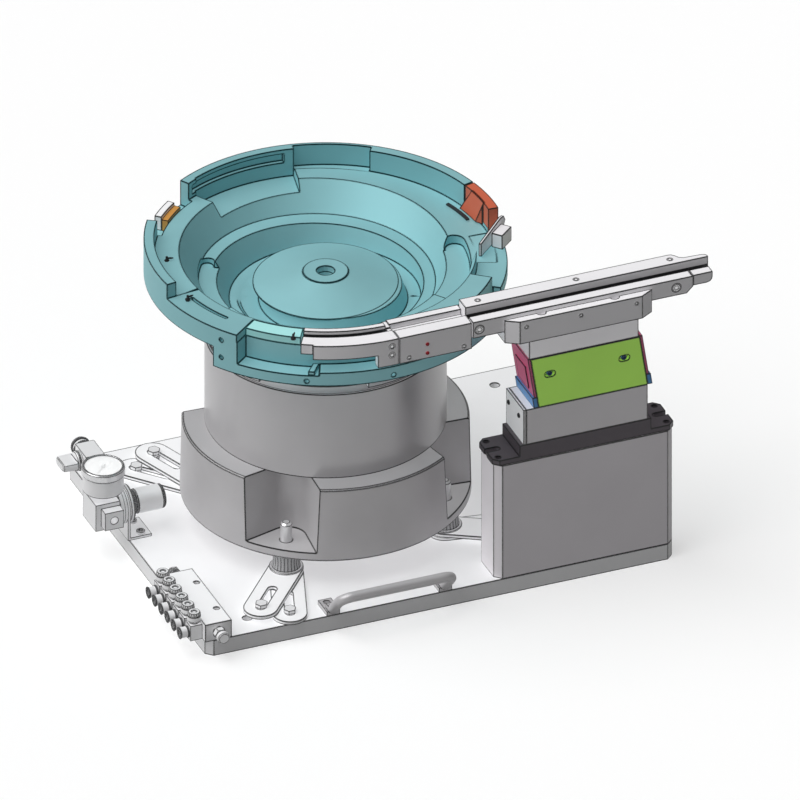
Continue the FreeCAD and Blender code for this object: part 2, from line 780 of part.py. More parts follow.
def make_linear_drive():
    z0 = stand_top
    half = stand_length / 2 + flange_overhang
    block_x0 = block_x1 - base_block_length
    y0 = plate_y0 + drive_inset
    y1 = plate_y0 + stand_width + drive_inset
    flange = chamfered_block(stand_x - half, stand_x + half, y0, y1, z0, z0 + flange_lobe, flange_lobe)
    raised = box(block_x0 - flange_margin, block_x1 + flange_margin, y0, y1, z0, z0 + flange_height)
    flange = flange.fuse(raised).removeSplitter()
    for side in (-1, 1):
        end = stand_x + side * half
        slot = slot_prism(2 * flange_slot_length, flange_slot_width, z0 - 1, z0 + flange_lobe + 1)
        slot.translate(Vec(end, (y0 + y1) / 2, 0))
        flange = flange.cut(slot)
        for y in (y0 + flange_hole_in, y1 - flange_hole_in):
            flange = flange.cut(cylinder(flange_hole_r, end - side * flange_hole_in, y, z0 - 1, z0 + flange_lobe + 1))
    block_z0 = z0 + flange_height
    block_z1 = block_z0 + base_block_height
    split = block_x0 + end_plate_thickness
    base_block = box(split, block_x1, y0, y1, block_z0, block_z1)
    end_plate = box(block_x0, split - seat_gap, y0, y1, block_z0, block_z1)
    lean = linear_lean_shift(side_plate_height)
    px0 = block_x1 - side_plate_length
    outline = [(px0, block_z1), (block_x1, block_z1), (block_x1 - lean, block_z1 + side_plate_height),
               (px0 - lean, block_z1 + side_plate_height)]
    sides = []
    for y in (y0, y1 - side_plate_thickness):
        side = prism_back(outline, y, y + side_plate_thickness)
        for along, below in side_slot_places:
            slot = slot_prism(side_slot_length, side_slot_width, -1, side_plate_thickness + 1)
            slot.rotate(Vec(0, 0, 0), Vec(1, 0, 0), -90)
            height = side_plate_height - below
            slot.translate(Vec(px0 + along - linear_lean_shift(height), y, block_z1 + height))
            side = side.cut(slot)
        sides.append(side)
    return flange, base_block, end_plate, sides, block_z1


def leaning_strip(x, low, high, near, far, z0, y0, y1):
    # A strip that leans with the springs, from near to far along X, between two heights above z0
    corners = [(x + near - linear_lean_shift(low), z0 + low), (x + far - linear_lean_shift(low), z0 + low),
               (x + far - linear_lean_shift(high), z0 + high), (x + near - linear_lean_shift(high), z0 + high)]
    return prism_back(corners, y0, y1)


def make_linear_springs(z0):
    # Leaf springs at both ends of the linear drive, with piezo wafers and clamp blocks
    y0 = plate_y0 + drive_inset
    y1 = y0 + stand_width
    thickness = linear_spring_thickness
    leaves, piezos, clamps = [], [], []
    for x, outside in ((block_x1 - side_plate_length - linear_spring_offset, 0.0),
                       (block_x1 + linear_spring_offset - thickness, thickness)):
        way = -1 if outside == 0.0 else 1
        near, far = sorted((outside, outside + way * piezo_thickness))
        leaves.append(leaning_strip(x, linear_clamp_height, side_plate_height, 0, thickness, z0, y0, y1))
        piezos.append(leaning_strip(x, linear_piezo_low, linear_piezo_high, near, far, z0, y0 + 10, y1 - 10))
        near, far = (-linear_clamp_depth + thickness, thickness) if way < 0 else (0, linear_clamp_depth)
        clamps.append(leaning_strip(x, 0, linear_clamp_height, near, far, z0, y0, y1))
    return leaves, piezos, clamps


def make_top_block(z0):
    x0 = top_block_x0()
    return box(x0, x0 + top_block_length, plate_y0, rail_y3, z0, bar_bottom)


# Pneumatics
manifold_x0 = -204.0
manifold_x1 = -175.5
manifold_y0 = -185.6
manifold_y1 = -80.6
manifold_height = 20.0
valve_pitch = 16.5
valve_count = 6
valve_first = -174.4
valve_x = -211.5


def make_manifold():
    z0, z1 = plate_top, plate_top + manifold_height
    block = box(manifold_x0, manifold_x1, manifold_y0, manifold_y1, z0, z1)
    for y in (-159.4, -106.8):
        block = block.cut(cylinder(2.75, -181.4, y, z0 - 1, z1 + 1))
    return block


def make_flow_controls():
    bodies, knobs = [], []
    for index in range(valve_count):
        y = valve_first + valve_pitch * index
        z = plate_top + 10.0
        body = box(valve_x - 6.5, valve_x + 6.5, y - 6.5, y + 6.5, z - 8.0, z + 9.0)
        body = body.fuse(rod(5.5, Vec(valve_x - 6, y, z), Vec(-1, 0, 0), 10.0))
        body = body.cut(rod(3.0, Vec(valve_x - 17, y, z), Vec(1, 0, 0), 15.0))
        body = body.cut(cylinder(2.5 + hinge_clearance, valve_x, y, z + 3.6, z + 10.0))
        bodies.append(body.removeSplitter())
        stem = cylinder(2.5, valve_x, y, z + 4.0, z + 9.0 + motion_gap)
        cap = ribbed_prism(12, 7.0, 0.9, valve_x, y, z + 9.0 + motion_gap, z + 22.0)
        knobs.append(stem.fuse(cap).removeSplitter())
    return bodies, knobs


def make_manifold_fittings():
    plug = rod(6.6, Vec(manifold_x0 + 14, manifold_y0 - seat_gap, plate_top + 10), Vec(0, -1, 0), 16.5)
    inlet = rod(6.6, Vec(manifold_x0 + 14, manifold_y1 + seat_gap, plate_top + 10), Vec(0, 1, 0), 16.0)
    inlet = inlet.cut(rod(4.0, Vec(manifold_x0 + 14, manifold_y1 + 5, plate_top + 10), Vec(0, 1, 0), 16.0))
    return [plug, inlet]


regulator_y = 223.0 + plate_y0
regulator_z = 33.7 + plate_top
regulator_x = plate_x0
bracket_thickness = 3.0
bracket_half_width = 17.0
bracket_foot = 24.0
bracket_bolt_spacing = 22.0
regulator_length = 26.0
regulator_half_width = 17.0
regulator_half_height = 15.0
port_block_length = 20.0
port_block_reach = 10.0
port_half_height = 10.0
port_r = 4.0
bonnet_r = 19.5
bonnet_length = 8.5
neck_r = 15.0
neck_length = 16.0
nut_r = 19.5
nut_length = 5.0
spindle_r = 5.0
knob_r = 12.8
knob_length = 34.0


def make_regulator():
    # The body hangs from a bracket by its round neck, which a nut clamps
    rx, ry, rz = regulator_x, regulator_y, regulator_z
    half = bracket_thickness / 2
    width = bracket_half_width
    upright = box(rx - half, rx + half, ry - width, ry + width, plate_top, rz)
    upright = upright.fuse(rod(width, Vec(rx - half, ry, rz), Vec(1, 0, 0), bracket_thickness))
    foot = box(rx - half, rx + bracket_foot, ry - width, ry + width, plate_top, plate_top + bracket_thickness)
    bracket = upright.fuse(foot).removeSplitter()
    bracket = bracket.cut(rod(neck_r + seat_gap, Vec(rx - 5, ry, rz), Vec(1, 0, 0), 10))
    for side in (-0.5, 0.5):
        y = ry + side * bracket_bolt_spacing
        bracket = bracket.cut(cylinder(3.0, rx + bracket_foot * 0.6, y, plate_top - 1, plate_top + 4))
    x1 = rx - half - bonnet_length
    x0 = x1 - regulator_length
    front = ry - regulator_half_width
    body = box(x0, x1, front, ry + regulator_half_width, rz - regulator_half_height, rz + regulator_half_height)
    port_x = x1 - port_block_length / 2
    body = body.fuse(box(x1 - port_block_length, x1, front - port_block_reach, front,
                         rz - port_half_height, rz + port_half_height))
    body = body.cut(rod(port_r, Vec(port_x, front - port_block_reach - 1, rz), Vec(0, 1, 0), 12))
    body = body.fuse(rod(bonnet_r, Vec(x1, ry, rz), Vec(1, 0, 0), bonnet_length - seat_gap))
    body = body.fuse(rod(neck_r, Vec(x1, ry, rz), Vec(1, 0, 0), neck_length))
    bore_start = x1 + neck_length / 2
    body = body.cut(rod(spindle_r + hinge_clearance, Vec(bore_start, ry, rz), Vec(1, 0, 0), neck_length))
    nut_start = rx + half + seat_gap
    nut = tube(nut_r, neck_r + seat_gap, Vec(nut_start, ry, rz), Vec(1, 0, 0), nut_length)
    spindle = rod(spindle_r, Vec(bore_start + 1, ry, rz), Vec(1, 0, 0), 20)
    knob_start = nut_start + nut_length + 1.5
    knob = rod(knob_r, Vec(knob_start, ry, rz), Vec(1, 0, 0), knob_length)
    knob = knob.cut(rod(spindle_r + hinge_clearance, Vec(knob_start - 1, ry, rz), Vec(1, 0, 0), 13))
    return bracket, body.removeSplitter(), nut, spindle, knob


gauge_r = 20.6
gauge_bezel_r = 21.8
gauge_window_r = 18.6
gauge_base = 54.6
gauge_case_height = 18.0
gauge_bezel_height = 9.0
gauge_dial_depth = 5.0
needle_length = 14.5
needle_angle = 225.0


def make_gauge():
    # The dial lies near the top of the case, and the needle turns on a pin above it
    x, y = regulator_x - 20, regulator_y + 3.0
    z0 = plate_top + gauge_base
    shoulder = z0 + gauge_case_height
    dial_z = shoulder + gauge_bezel_height - gauge_dial_depth
    stem = cylinder(5.0, x, y, regulator_z + regulator_half_height + seat_gap, z0 + 1)
    case = cylinder(gauge_r, x, y, z0, shoulder).fuse(stem)
    case = case.fuse(cylinder(gauge_window_r - seat_gap, x, y, shoulder, dial_z - seat_gap)).removeSplitter()
    bezel = tube(gauge_bezel_r, gauge_window_r, Vec(x, y, shoulder + seat_gap), Vec(0, 0, 1),
                 gauge_bezel_height)
    dial = cylinder(gauge_window_r - seat_gap, x, y, dial_z, dial_z + 1.0)
    dial = dial.fuse(cylinder(1.0, x, y, dial_z + 1.0, dial_z + 3.5))
    pivot = dial_z + 2.0
    hub = tube(2.2, 1.0 + hinge_clearance, Vec(x, y, pivot), Vec(0, 0, 1), 1.2)
    pointer = box(x + 1.6, x + needle_length, y - 0.4, y + 0.4, pivot, pivot + 0.8)
    tail = box(x - 5.5, x - 1.6, y - 0.7, y + 0.7, pivot, pivot + 0.8)
    needle = turned(fuse_all([hub, pointer, tail]), needle_angle, Vec(x, y, 0))
    return case, bezel, dial.removeSplitter(), needle


valve_body_x0 = -222.7
valve_body_x1 = -202.7
valve_body_y0 = 83.5
valve_body_y1 = 112.0
valve_body_z0 = 44.0
valve_body_z1 = 66.0
valve_port_r = 9.0
valve_bore_r = 6.0
valve_port_length = 14.0
valve_disc_r = 10.5
valve_pin_r = 4.0


def make_shutoff_valve():
    # A ball valve: its round port faces back, and a slanting neck joins it to the regulator
    x0, x1, y0, y1 = valve_body_x0, valve_body_x1, valve_body_y0, valve_body_y1
    z0, z1 = plate_top + valve_body_z0, plate_top + valve_body_z1
    body = box(x0, x1, y0, y1, z0, z1)
    xm, ym, zm = (x0 + x1) / 2, (y0 + y1) / 2, (z0 + z1) / 2
    back = regulator_y + regulator_half_width + seat_gap
    start, end = Vec(xm, y0 + 8.0, zm), Vec(regulator_x - 22.0, back - 4.0, regulator_z)
    neck = rod(valve_port_r, start, (end - start).normalize(), (end - start).Length)
    neck = neck.cut(box(xm - 60, xm + 60, back - 40, back, 0, z1 + 40))
    body = body.fuse(neck).fuse(rod(valve_port_r, Vec(xm, y1, zm), Vec(0, 1, 0), valve_port_length))
    body = body.cut(rod(valve_bore_r, Vec(xm, y1 + valve_port_length + 1, zm), Vec(0, -1, 0),
                        valve_port_length))
    body = body.cut(rod(valve_pin_r + hinge_clearance, Vec(x0 - 1, ym, zm), Vec(1, 0, 0), 9))
    face = x0 - motion_gap
    disc = rod(valve_disc_r, Vec(face, ym, zm), Vec(-1, 0, 0), 6)
    grip = box(face - 22, face - 6, ym - 11.5, ym + 11.5, zm - 4.5, zm + 4.5)
    pin = rod(valve_pin_r, Vec(x0 + 7, ym, zm), Vec(-1, 0, 0), 11)
    return body.removeSplitter(), fuse_all([disc, grip, pin])


handle_spacing = 120.0
handle_start = 135.0
handle_r = 5.25
handle_bend = 12.0
handle_reach = 22.0
handle_rise = 31.0
lug_half_width = 7.0


def make_handle():
    # A bent tube on two drilled lugs
    feet_x = (plate_x0 + handle_start, plate_x0 + handle_start + handle_spacing)
    y0, y1 = plate_y0 + 2.0, plate_y0 - handle_reach
    z0, z1 = plate_top + 6.0, plate_top + handle_rise
    points = [Vec(feet_x[0], y0, z0), Vec(feet_x[0], y1, z1), Vec(feet_x[1], y1, z1), Vec(feet_x[1], y0, z0)]
    edges = []
    start = points[0]
    for i in (1, 2):
        incoming = (points[i] - points[i - 1]).normalize()
        outgoing = (points[i + 1] - points[i]).normalize()
        first = points[i] - incoming * handle_bend
        last = points[i] + outgoing * handle_bend
        centre = points[i] - incoming * handle_bend + outgoing * handle_bend
        middle = centre + (points[i] - centre).normalize() * handle_bend
        edges.append(Part.LineSegment(start, first).toShape())
        edges.append(Part.Arc(first, middle, last).toShape())
        start = last
    edges.append(Part.LineSegment(start, points[3]).toShape())
    profile = Part.Wire(Part.makeCircle(handle_r, points[0], (points[1] - points[0]).normalize()))
    pieces = [Part.Wire(edges).makePipeShell([profile], True, False)]
    half = lug_half_width
    for x in feet_x:
        pieces.append(box(x - half, x + half, plate_y0, plate_y0 + 24, plate_top, plate_top + 5))
        pieces.append(box(x - half + 2, x + half - 2, plate_y0, plate_y0 + 8, plate_top, plate_top + 10))
    handle = fuse_all(pieces)
    for x in feet_x:
        handle = handle.cut(cylinder(3.2, x, plate_y0 + 18, plate_top - 1, plate_top + 6))
    return handle


def build():
    save("base_plate", make_base_plate())
    feet, studs, lugs, bolts = make_feet()
    save("rubber_feet", feet)
    save("foot_studs", studs)
    save("foot_lugs", lugs)
    save("lug_bolts", bolts)
    save("drive_base", make_drive_base())
    save("drive_skirt", make_skirt())
    save("counterweight", make_counterweight())
    low, high, leaves, piezos = make_drive_springs()
    save("lower_spring_clamps", low)
    save("upper_spring_clamps", high)
    save("leaf_springs", leaves)
    save("piezo_elements", piezos)
    save("drive_top_plate", make_top_plate())
    save("bowl", make_bowl())
    save("centre_bolt", make_centre_bolt())
    save("bowl_clamps", make_bowl_clamps())
    save("track_insert", make_track_insert())
    insert, block = make_gate_parts()
    save("gate_insert", insert)
    save("gate_block", block)
    plate, bracket = make_deflector()
    save("deflector_plate", plate)
    save("deflector_bracket", bracket)
    save("outlet_plate", make_outlet_plate())
    save("ledge_rib", make_ledge_rib())
    save("curved_rail", make_curved_rails())
    front, back = make_outlet_rails()
    save("outlet_front_rail", front)
    save("outlet_back_rail", back)
    front, back, floor = make_track_rails()
    save("track_front_rail", front)
    save("track_back_rail", back)
    save("track_floor", floor)
    save("support_bar", make_support_bar())
    save("stand_box", chamfered_block(stand_x - stand_length / 2, stand_x + stand_length / 2, plate_y0,
                                      plate_y0 + stand_width, plate_top, stand_top, stand_corner))
    flange, base_block, end_plate, sides, block_top = make_linear_drive()
    save("linear_flange", flange)
    save("linear_base_block", base_block)
    save("linear_end_plate", end_plate)
    save("linear_side_plates", sides)
    leaves, piezos, clamps = make_linear_springs(block_top)
    save("linear_springs", leaves)
    save("linear_piezos", piezos)
    save("linear_spring_clamps", clamps)
    save("linear_top_block", make_top_block(block_top + side_plate_height + motion_gap))
    save("manifold_block", make_manifold())
    bodies, knobs = make_flow_controls()
    save("flow_control_bodies", bodies)
    for index, knob in enumerate(knobs):
        save("flow_knob_%d" % (index + 1), knob)
    save("manifold_fittings", make_manifold_fittings())
    bracket, body, nut, spindle, knob = make_regulator()
    save("regulator_bracket", bracket)
    save("regulator_body", body)
    save("regulator_nut", nut)
    save("regulator_spindle", spindle)
    save("regulator_knob", knob)
    case, bezel, dial, needle = make_gauge()
    save("gauge_case", case)
    save("gauge_bezel", bezel)
    save("gauge_dial", dial)
    save("gauge_needle", needle)
    body, knob = make_shutoff_valve()
    save("shutoff_valve_body", body)
    save("shutoff_valve_knob", knob)
    save("carry_handle", make_handle())


build()
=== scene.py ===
import bpy
import json
import numpy as np
from math import cos, pi, radians, sin
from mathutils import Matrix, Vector


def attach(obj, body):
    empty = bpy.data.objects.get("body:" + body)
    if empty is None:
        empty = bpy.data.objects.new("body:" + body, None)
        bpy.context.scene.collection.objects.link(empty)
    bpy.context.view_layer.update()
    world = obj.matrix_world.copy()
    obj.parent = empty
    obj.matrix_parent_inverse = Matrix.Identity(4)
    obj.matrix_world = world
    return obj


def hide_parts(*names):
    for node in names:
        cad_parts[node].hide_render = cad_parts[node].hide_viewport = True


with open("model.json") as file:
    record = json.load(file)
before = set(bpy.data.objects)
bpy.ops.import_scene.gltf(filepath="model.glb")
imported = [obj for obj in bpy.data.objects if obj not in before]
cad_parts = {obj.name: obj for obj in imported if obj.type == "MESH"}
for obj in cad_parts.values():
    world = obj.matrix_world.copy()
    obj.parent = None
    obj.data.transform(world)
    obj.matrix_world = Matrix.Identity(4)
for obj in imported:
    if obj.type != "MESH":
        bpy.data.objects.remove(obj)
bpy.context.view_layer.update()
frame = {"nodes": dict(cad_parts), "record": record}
nodes = frame["nodes"]
mm = 0.001
seam = 0.01         # millimetres left between closed parts of one piece that meet
plateTop = 18.0     # millimetres, the top of the base plate
bowlTurn = -22.05   # degrees; angles round the bowl are counted from this line
print("stage: frame loaded,", len(nodes), "nodes")

# The view of the photograph: parallel, from the front left and above.
camera = {
    "azimuth": -22.05,
    "elevation": 31.65,
    "pixelsPerMm": 1.008,
    "bowlAxisPixel": (325.6, 511.05),
    "distance": 3.0,
    "imageSize": 800,
}


def makeCamera():
    a, e = radians(camera["azimuth"]), radians(camera["elevation"])
    right = Vector((cos(a), sin(a), 0))
    back = Vector((sin(a) * cos(e), -cos(a) * cos(e), sin(e)))
    up = back.cross(right)
    middle = camera["imageSize"] / 2
    across = (middle - camera["bowlAxisPixel"][0]) / camera["pixelsPerMm"]
    above = (camera["bowlAxisPixel"][1] - middle) / camera["pixelsPerMm"]
    above += plateTop * up.z
    data = bpy.data.cameras.new("photoCamera")
    data.type = "ORTHO"
    data.ortho_scale = camera["imageSize"] / camera["pixelsPerMm"] * mm
    data.clip_start = 0.05
    data.clip_end = 20
    obj = bpy.data.objects.new("photoCamera", data)
    bpy.context.scene.collection.objects.link(obj)
    obj.location = (right * across + up * above) * mm + back * camera["distance"]
    obj.rotation_mode = "QUATERNION"
    obj.rotation_quaternion = (-back).to_track_quat("-Z", "Y")
    bpy.context.scene.camera = obj


# Light: two soft high lamps from the left, a little from behind, over an even sky. One of them
# casts no shadow, so that the shadows stay light.
light = {
    "lampTowards": (-0.53, 0.10, 0.84),
    "lampStrength": 1.20,
    "openStrength": 1.95,
    "lampAngle": 60.0,
    "skyStrength": 0.19,
    "floorSeen": 0.96,
    "floorBounce": 0.17,
}


def addSun(name, towards, strength, angle, shadow=True):
    data = bpy.data.lights.new(name, "SUN")
    data.energy = strength
    data.angle = radians(angle)
    data.use_shadow = shadow
    obj = bpy.data.objects.new(name, data)
    bpy.context.scene.collection.objects.link(obj)
    obj.rotation_mode = "QUATERNION"
    obj.rotation_quaternion = Vector(towards).to_track_quat("Z", "Y")


def makeLight():
    addSun("keyLamp", light["lampTowards"], light["lampStrength"], light["lampAngle"])
    addSun("openLamp", light["lampTowards"], light["openStrength"], light["lampAngle"], False)
    world = bpy.data.worlds.new("studio")
    bpy.context.scene.world = world
    world.use_nodes = True
    tree = world.node_tree
    sky = tree.nodes["Background"]
    path = tree.nodes.new("ShaderNodeLightPath")
    seen = tree.nodes.new("ShaderNodeMath")
    seen.operation = "MAXIMUM"
    tree.links.new(path.outputs["Is Camera Ray"], seen.inputs[0])
    tree.links.new(path.outputs["Is Transmission Ray"], seen.inputs[1])
    level = tree.nodes.new("ShaderNodeMapRange")
    level.inputs["To Min"].default_value = light["skyStrength"]
    level.inputs["To Max"].default_value = 1.0
    tree.links.new(seen.outputs[0], level.inputs["Value"])
    tree.links.new(level.outputs[0], sky.inputs["Strength"])
    sky.inputs["Color"].default_value = (1, 1, 1, 1)


def addMesh(name, points, faces, smooth=True):
    mesh = bpy.data.meshes.new(name)
    mesh.from_pydata(np.asarray(points, float).tolist(), [], [list(map(int, f)) for f in faces])
    mesh.polygons.foreach_set("use_smooth", [smooth] * len(mesh.polygons))
    mesh.update()
    obj = bpy.data.objects.new(name, mesh)
    bpy.context.scene.collection.objects.link(obj)
    return obj


def makeFloor():
    # One large flat square. The camera and shiny parts see it white, and it sends little light back up.
    half = 6.0
    floor = addMesh("floor", [(-half, -half, 0), (half, -half, 0), (half, half, 0), (-half, half, 0)],
                    [(0, 1, 2, 3)], False)
    mat = bpy.data.materials.new("floorWhite")
    mat.use_nodes = True
    tree = mat.node_tree
    shader = tree.nodes["Principled BSDF"]
    shader.inputs["Roughness"].default_value = 0.9
    shader.inputs["Specular IOR Level"].default_value = 0.0
    path = tree.nodes.new("ShaderNodeLightPath")
    both = tree.nodes.new("ShaderNodeMath")
    both.operation = "MAXIMUM"
    tree.links.new(path.outputs["Is Camera Ray"], both.inputs[0])
    tree.links.new(path.outputs["Is Glossy Ray"], both.inputs[1])
    level = tree.nodes.new("ShaderNodeMapRange")
    level.inputs["To Min"].default_value = light["floorBounce"]
    level.inputs["To Max"].default_value = light["floorSeen"]
    tree.links.new(both.outputs[0], level.inputs["Value"])
    tree.links.new(level.outputs[0], shader.inputs["Base Color"])
    floor.data.materials.append(mat)


# Every finish is worked out from a few numbers: colour, the dark line along edges, cloudy
# variation, fine grain, polish and metal. The edge line follows the bend of the surface.
finishes = {
    "tealBowl": {"color": (0.270, 0.530, 0.565), "line": (0.004, 0.03, 0.034), "lineWidth": 2.30,
                 "cloud": 0.05, "grain": 1400, "bump": 0.06, "rough": 0.62, "metal": 0.34},
    "castGrey": {"color": (0.50, 0.49, 0.50), "line": (0.03, 0.03, 0.03), "lineWidth": 2.30,
                 "cloud": 0.08, "grain": 700, "bump": 0.20, "rough": 0.48, "metal": 0.28},
    "drumGrey": {"color": (0.50, 0.49, 0.50), "line": (0.02, 0.02, 0.02), "lineWidth": 2.09,
                 "cloud": 0.04, "grain": 1600, "bump": 0.05, "rough": 0.34, "metal": 0.30},
    "plateWhite": {"color": (0.88, 0.88, 0.89), "line": (0.05, 0.05, 0.05), "lineWidth": 2.09,
                   "cloud": 0.03, "grain": 900, "bump": 0.04, "rough": 0.45, "metal": 0.0},
    "railMetal": {"color": (0.84, 0.83, 0.85), "line": (0.02, 0.02, 0.02), "lineWidth": 2.09,
                  "cloud": 0.03, "grain": 1800, "bump": 0.04, "rough": 0.45, "metal": 0.0},
    "darkBlock": {"color": (0.080, 0.070, 0.080), "line": (0.01, 0.01, 0.01), "lineWidth": 2.09,
                  "cloud": 0.10, "grain": 1200, "bump": 0.08, "rough": 0.40, "metal": 0.2},
    "greyBlock": {"color": (0.80, 0.78, 0.80), "line": (0.02, 0.02, 0.02), "lineWidth": 2.09,
                  "cloud": 0.04, "grain": 1500, "bump": 0.05, "rough": 0.42, "metal": 0.0},
    "standGrey": {"color": (0.80, 0.77, 0.80), "line": (0.02, 0.02, 0.02), "lineWidth": 2.09,
                  "cloud": 0.04, "grain": 900, "bump": 0.06, "rough": 0.40, "metal": 0.0},
    "greenCover": {"color": (0.42, 0.76, 0.12), "line": (0.01, 0.03, 0.005), "lineWidth": 2.09,
                   "cloud": 0.05, "grain": 1100, "bump": 0.06, "rough": 0.40, "metal": 0.28},
    "topBlock": {"color": (0.84, 0.83, 0.85), "line": (0.02, 0.02, 0.02), "lineWidth": 2.09,
                 "cloud": 0.04, "grain": 1500, "bump": 0.05, "rough": 0.40, "metal": 0.22},
    "handleGrey": {"color": (0.50, 0.49, 0.50), "line": (0.02, 0.02, 0.02), "lineWidth": 1.35,
                   "cloud": 0.05, "grain": 1500, "bump": 0.05, "rough": 0.40, "metal": 0.25},
    "magentaSpring": {"color": (0.72, 0.13, 0.27), "line": (0.03, 0.01, 0.02), "lineWidth": 2.09,
                      "cloud": 0.05, "grain": 1500, "bump": 0.04, "rough": 0.35, "metal": 0.0},
    "blueClamp": {"color": (0.10, 0.30, 0.62), "line": (0.01, 0.02, 0.04), "lineWidth": 2.09,
                  "cloud": 0.05, "grain": 1500, "bump": 0.05, "rough": 0.38, "metal": 0.0},
    "orangeInsert": {"color": (0.56, 0.12, 0.06), "line": (0.03, 0.01, 0.005), "lineWidth": 2.09,
                     "cloud": 0.06, "grain": 1300, "bump": 0.06, "rough": 0.45, "metal": 0.0},
    "brownInsert": {"color": (0.56, 0.27, 0.06), "line": (0.03, 0.015, 0.005), "lineWidth": 1.48,
                    "cloud": 0.06, "grain": 1300, "bump": 0.06, "rough": 0.45, "metal": 0.0},
    "rubberGrey": {"color": (0.42, 0.42, 0.43), "line": (0.02, 0.02, 0.02), "lineWidth": 1.48,
                   "cloud": 0.08, "grain": 900, "bump": 0.15, "rough": 0.75, "metal": 0.0},
    "brightSteel": {"color": (0.74, 0.74, 0.75), "line": (0.03, 0.03, 0.03), "lineWidth": 1.32,
                    "cloud": 0.04, "grain": 2200, "bump": 0.05, "rough": 0.28, "metal": 0.55},
    "springSteel": {"color": (0.40, 0.42, 0.46), "line": (0.02, 0.02, 0.02), "lineWidth": 1.00,
                    "cloud": 0.06, "grain": 2200, "bump": 0.04, "rough": 0.30, "metal": 0.8},
    "ceramic": {"color": (0.75, 0.72, 0.65), "line": (0.05, 0.05, 0.04), "lineWidth": 0.86,
                "cloud": 0.05, "grain": 1800, "bump": 0.04, "rough": 0.35, "metal": 0.0},
    "whiteBody": {"color": (0.82, 0.82, 0.83), "line": (0.03, 0.03, 0.03), "lineWidth": 1.32,
                  "cloud": 0.03, "grain": 1500, "bump": 0.05, "rough": 0.40, "metal": 0.20},
    "knobGrey": {"color": (0.70, 0.70, 0.71), "line": (0.03, 0.03, 0.03), "lineWidth": 1.32,
                 "cloud": 0.04, "grain": 1500, "bump": 0.06, "rough": 0.45, "metal": 0.0},
    "dialWhite": {"color": (0.92, 0.92, 0.92), "line": (0.4, 0.4, 0.4), "lineWidth": 0.57,
                  "cloud": 0.01, "grain": 1800, "bump": 0.01, "rough": 0.5, "metal": 0.0},
    # Painted highlight: a lighter copy of the bowl's teal for the faces that carry the light_teal slot
    "tealPaintedHighlight": {"color": (0.40, 0.79, 0.78), "line": (0.012, 0.07, 0.075), "lineWidth": 2.28,
                  "cloud": 0.04, "grain": 1400, "bump": 0.05, "rough": 0.40, "metal": 0.0},
    "redScrew": {"color": (0.55, 0.03, 0.05), "line": (0.10, 0.0, 0.0), "lineWidth": 0.52,
                 "cloud": 0.04, "grain": 1800, "bump": 0.04, "rough": 0.40, "metal": 0.0},
    "inkBlack": {"color": (0.018, 0.018, 0.020), "line": (0.01, 0.01, 0.01), "lineWidth": 0.60,
                 "cloud": 0.10, "grain": 1500, "bump": 0.05, "rough": 0.55, "metal": 0.0},
    "darkRing": {"color": (0.10, 0.10, 0.105), "line": (0.01, 0.01, 0.01), "lineWidth": 0.65,
                 "cloud": 0.06, "grain": 1800, "bump": 0.05, "rough": 0.40, "metal": 0.0},
    "needleBlack": {"color": (0.02, 0.02, 0.02), "line": (0.01, 0.01, 0.01), "lineWidth": 0.57,
                    "cloud": 0.05, "grain": 1800, "bump": 0.02, "rough": 0.4, "metal": 0.0},
}


# Values shared by all finishes. A full dark line is drawn where the cosine of the bend falls to edgeFull.
texture = {
    "gloss": 0.3, "cloudScale": 14, "edgeSamples": 8, "edgeNone": 0.9985, "edgeFull": 0.991,
    "bumpDepth": 0.2, "polishSpread": 0.06,
}


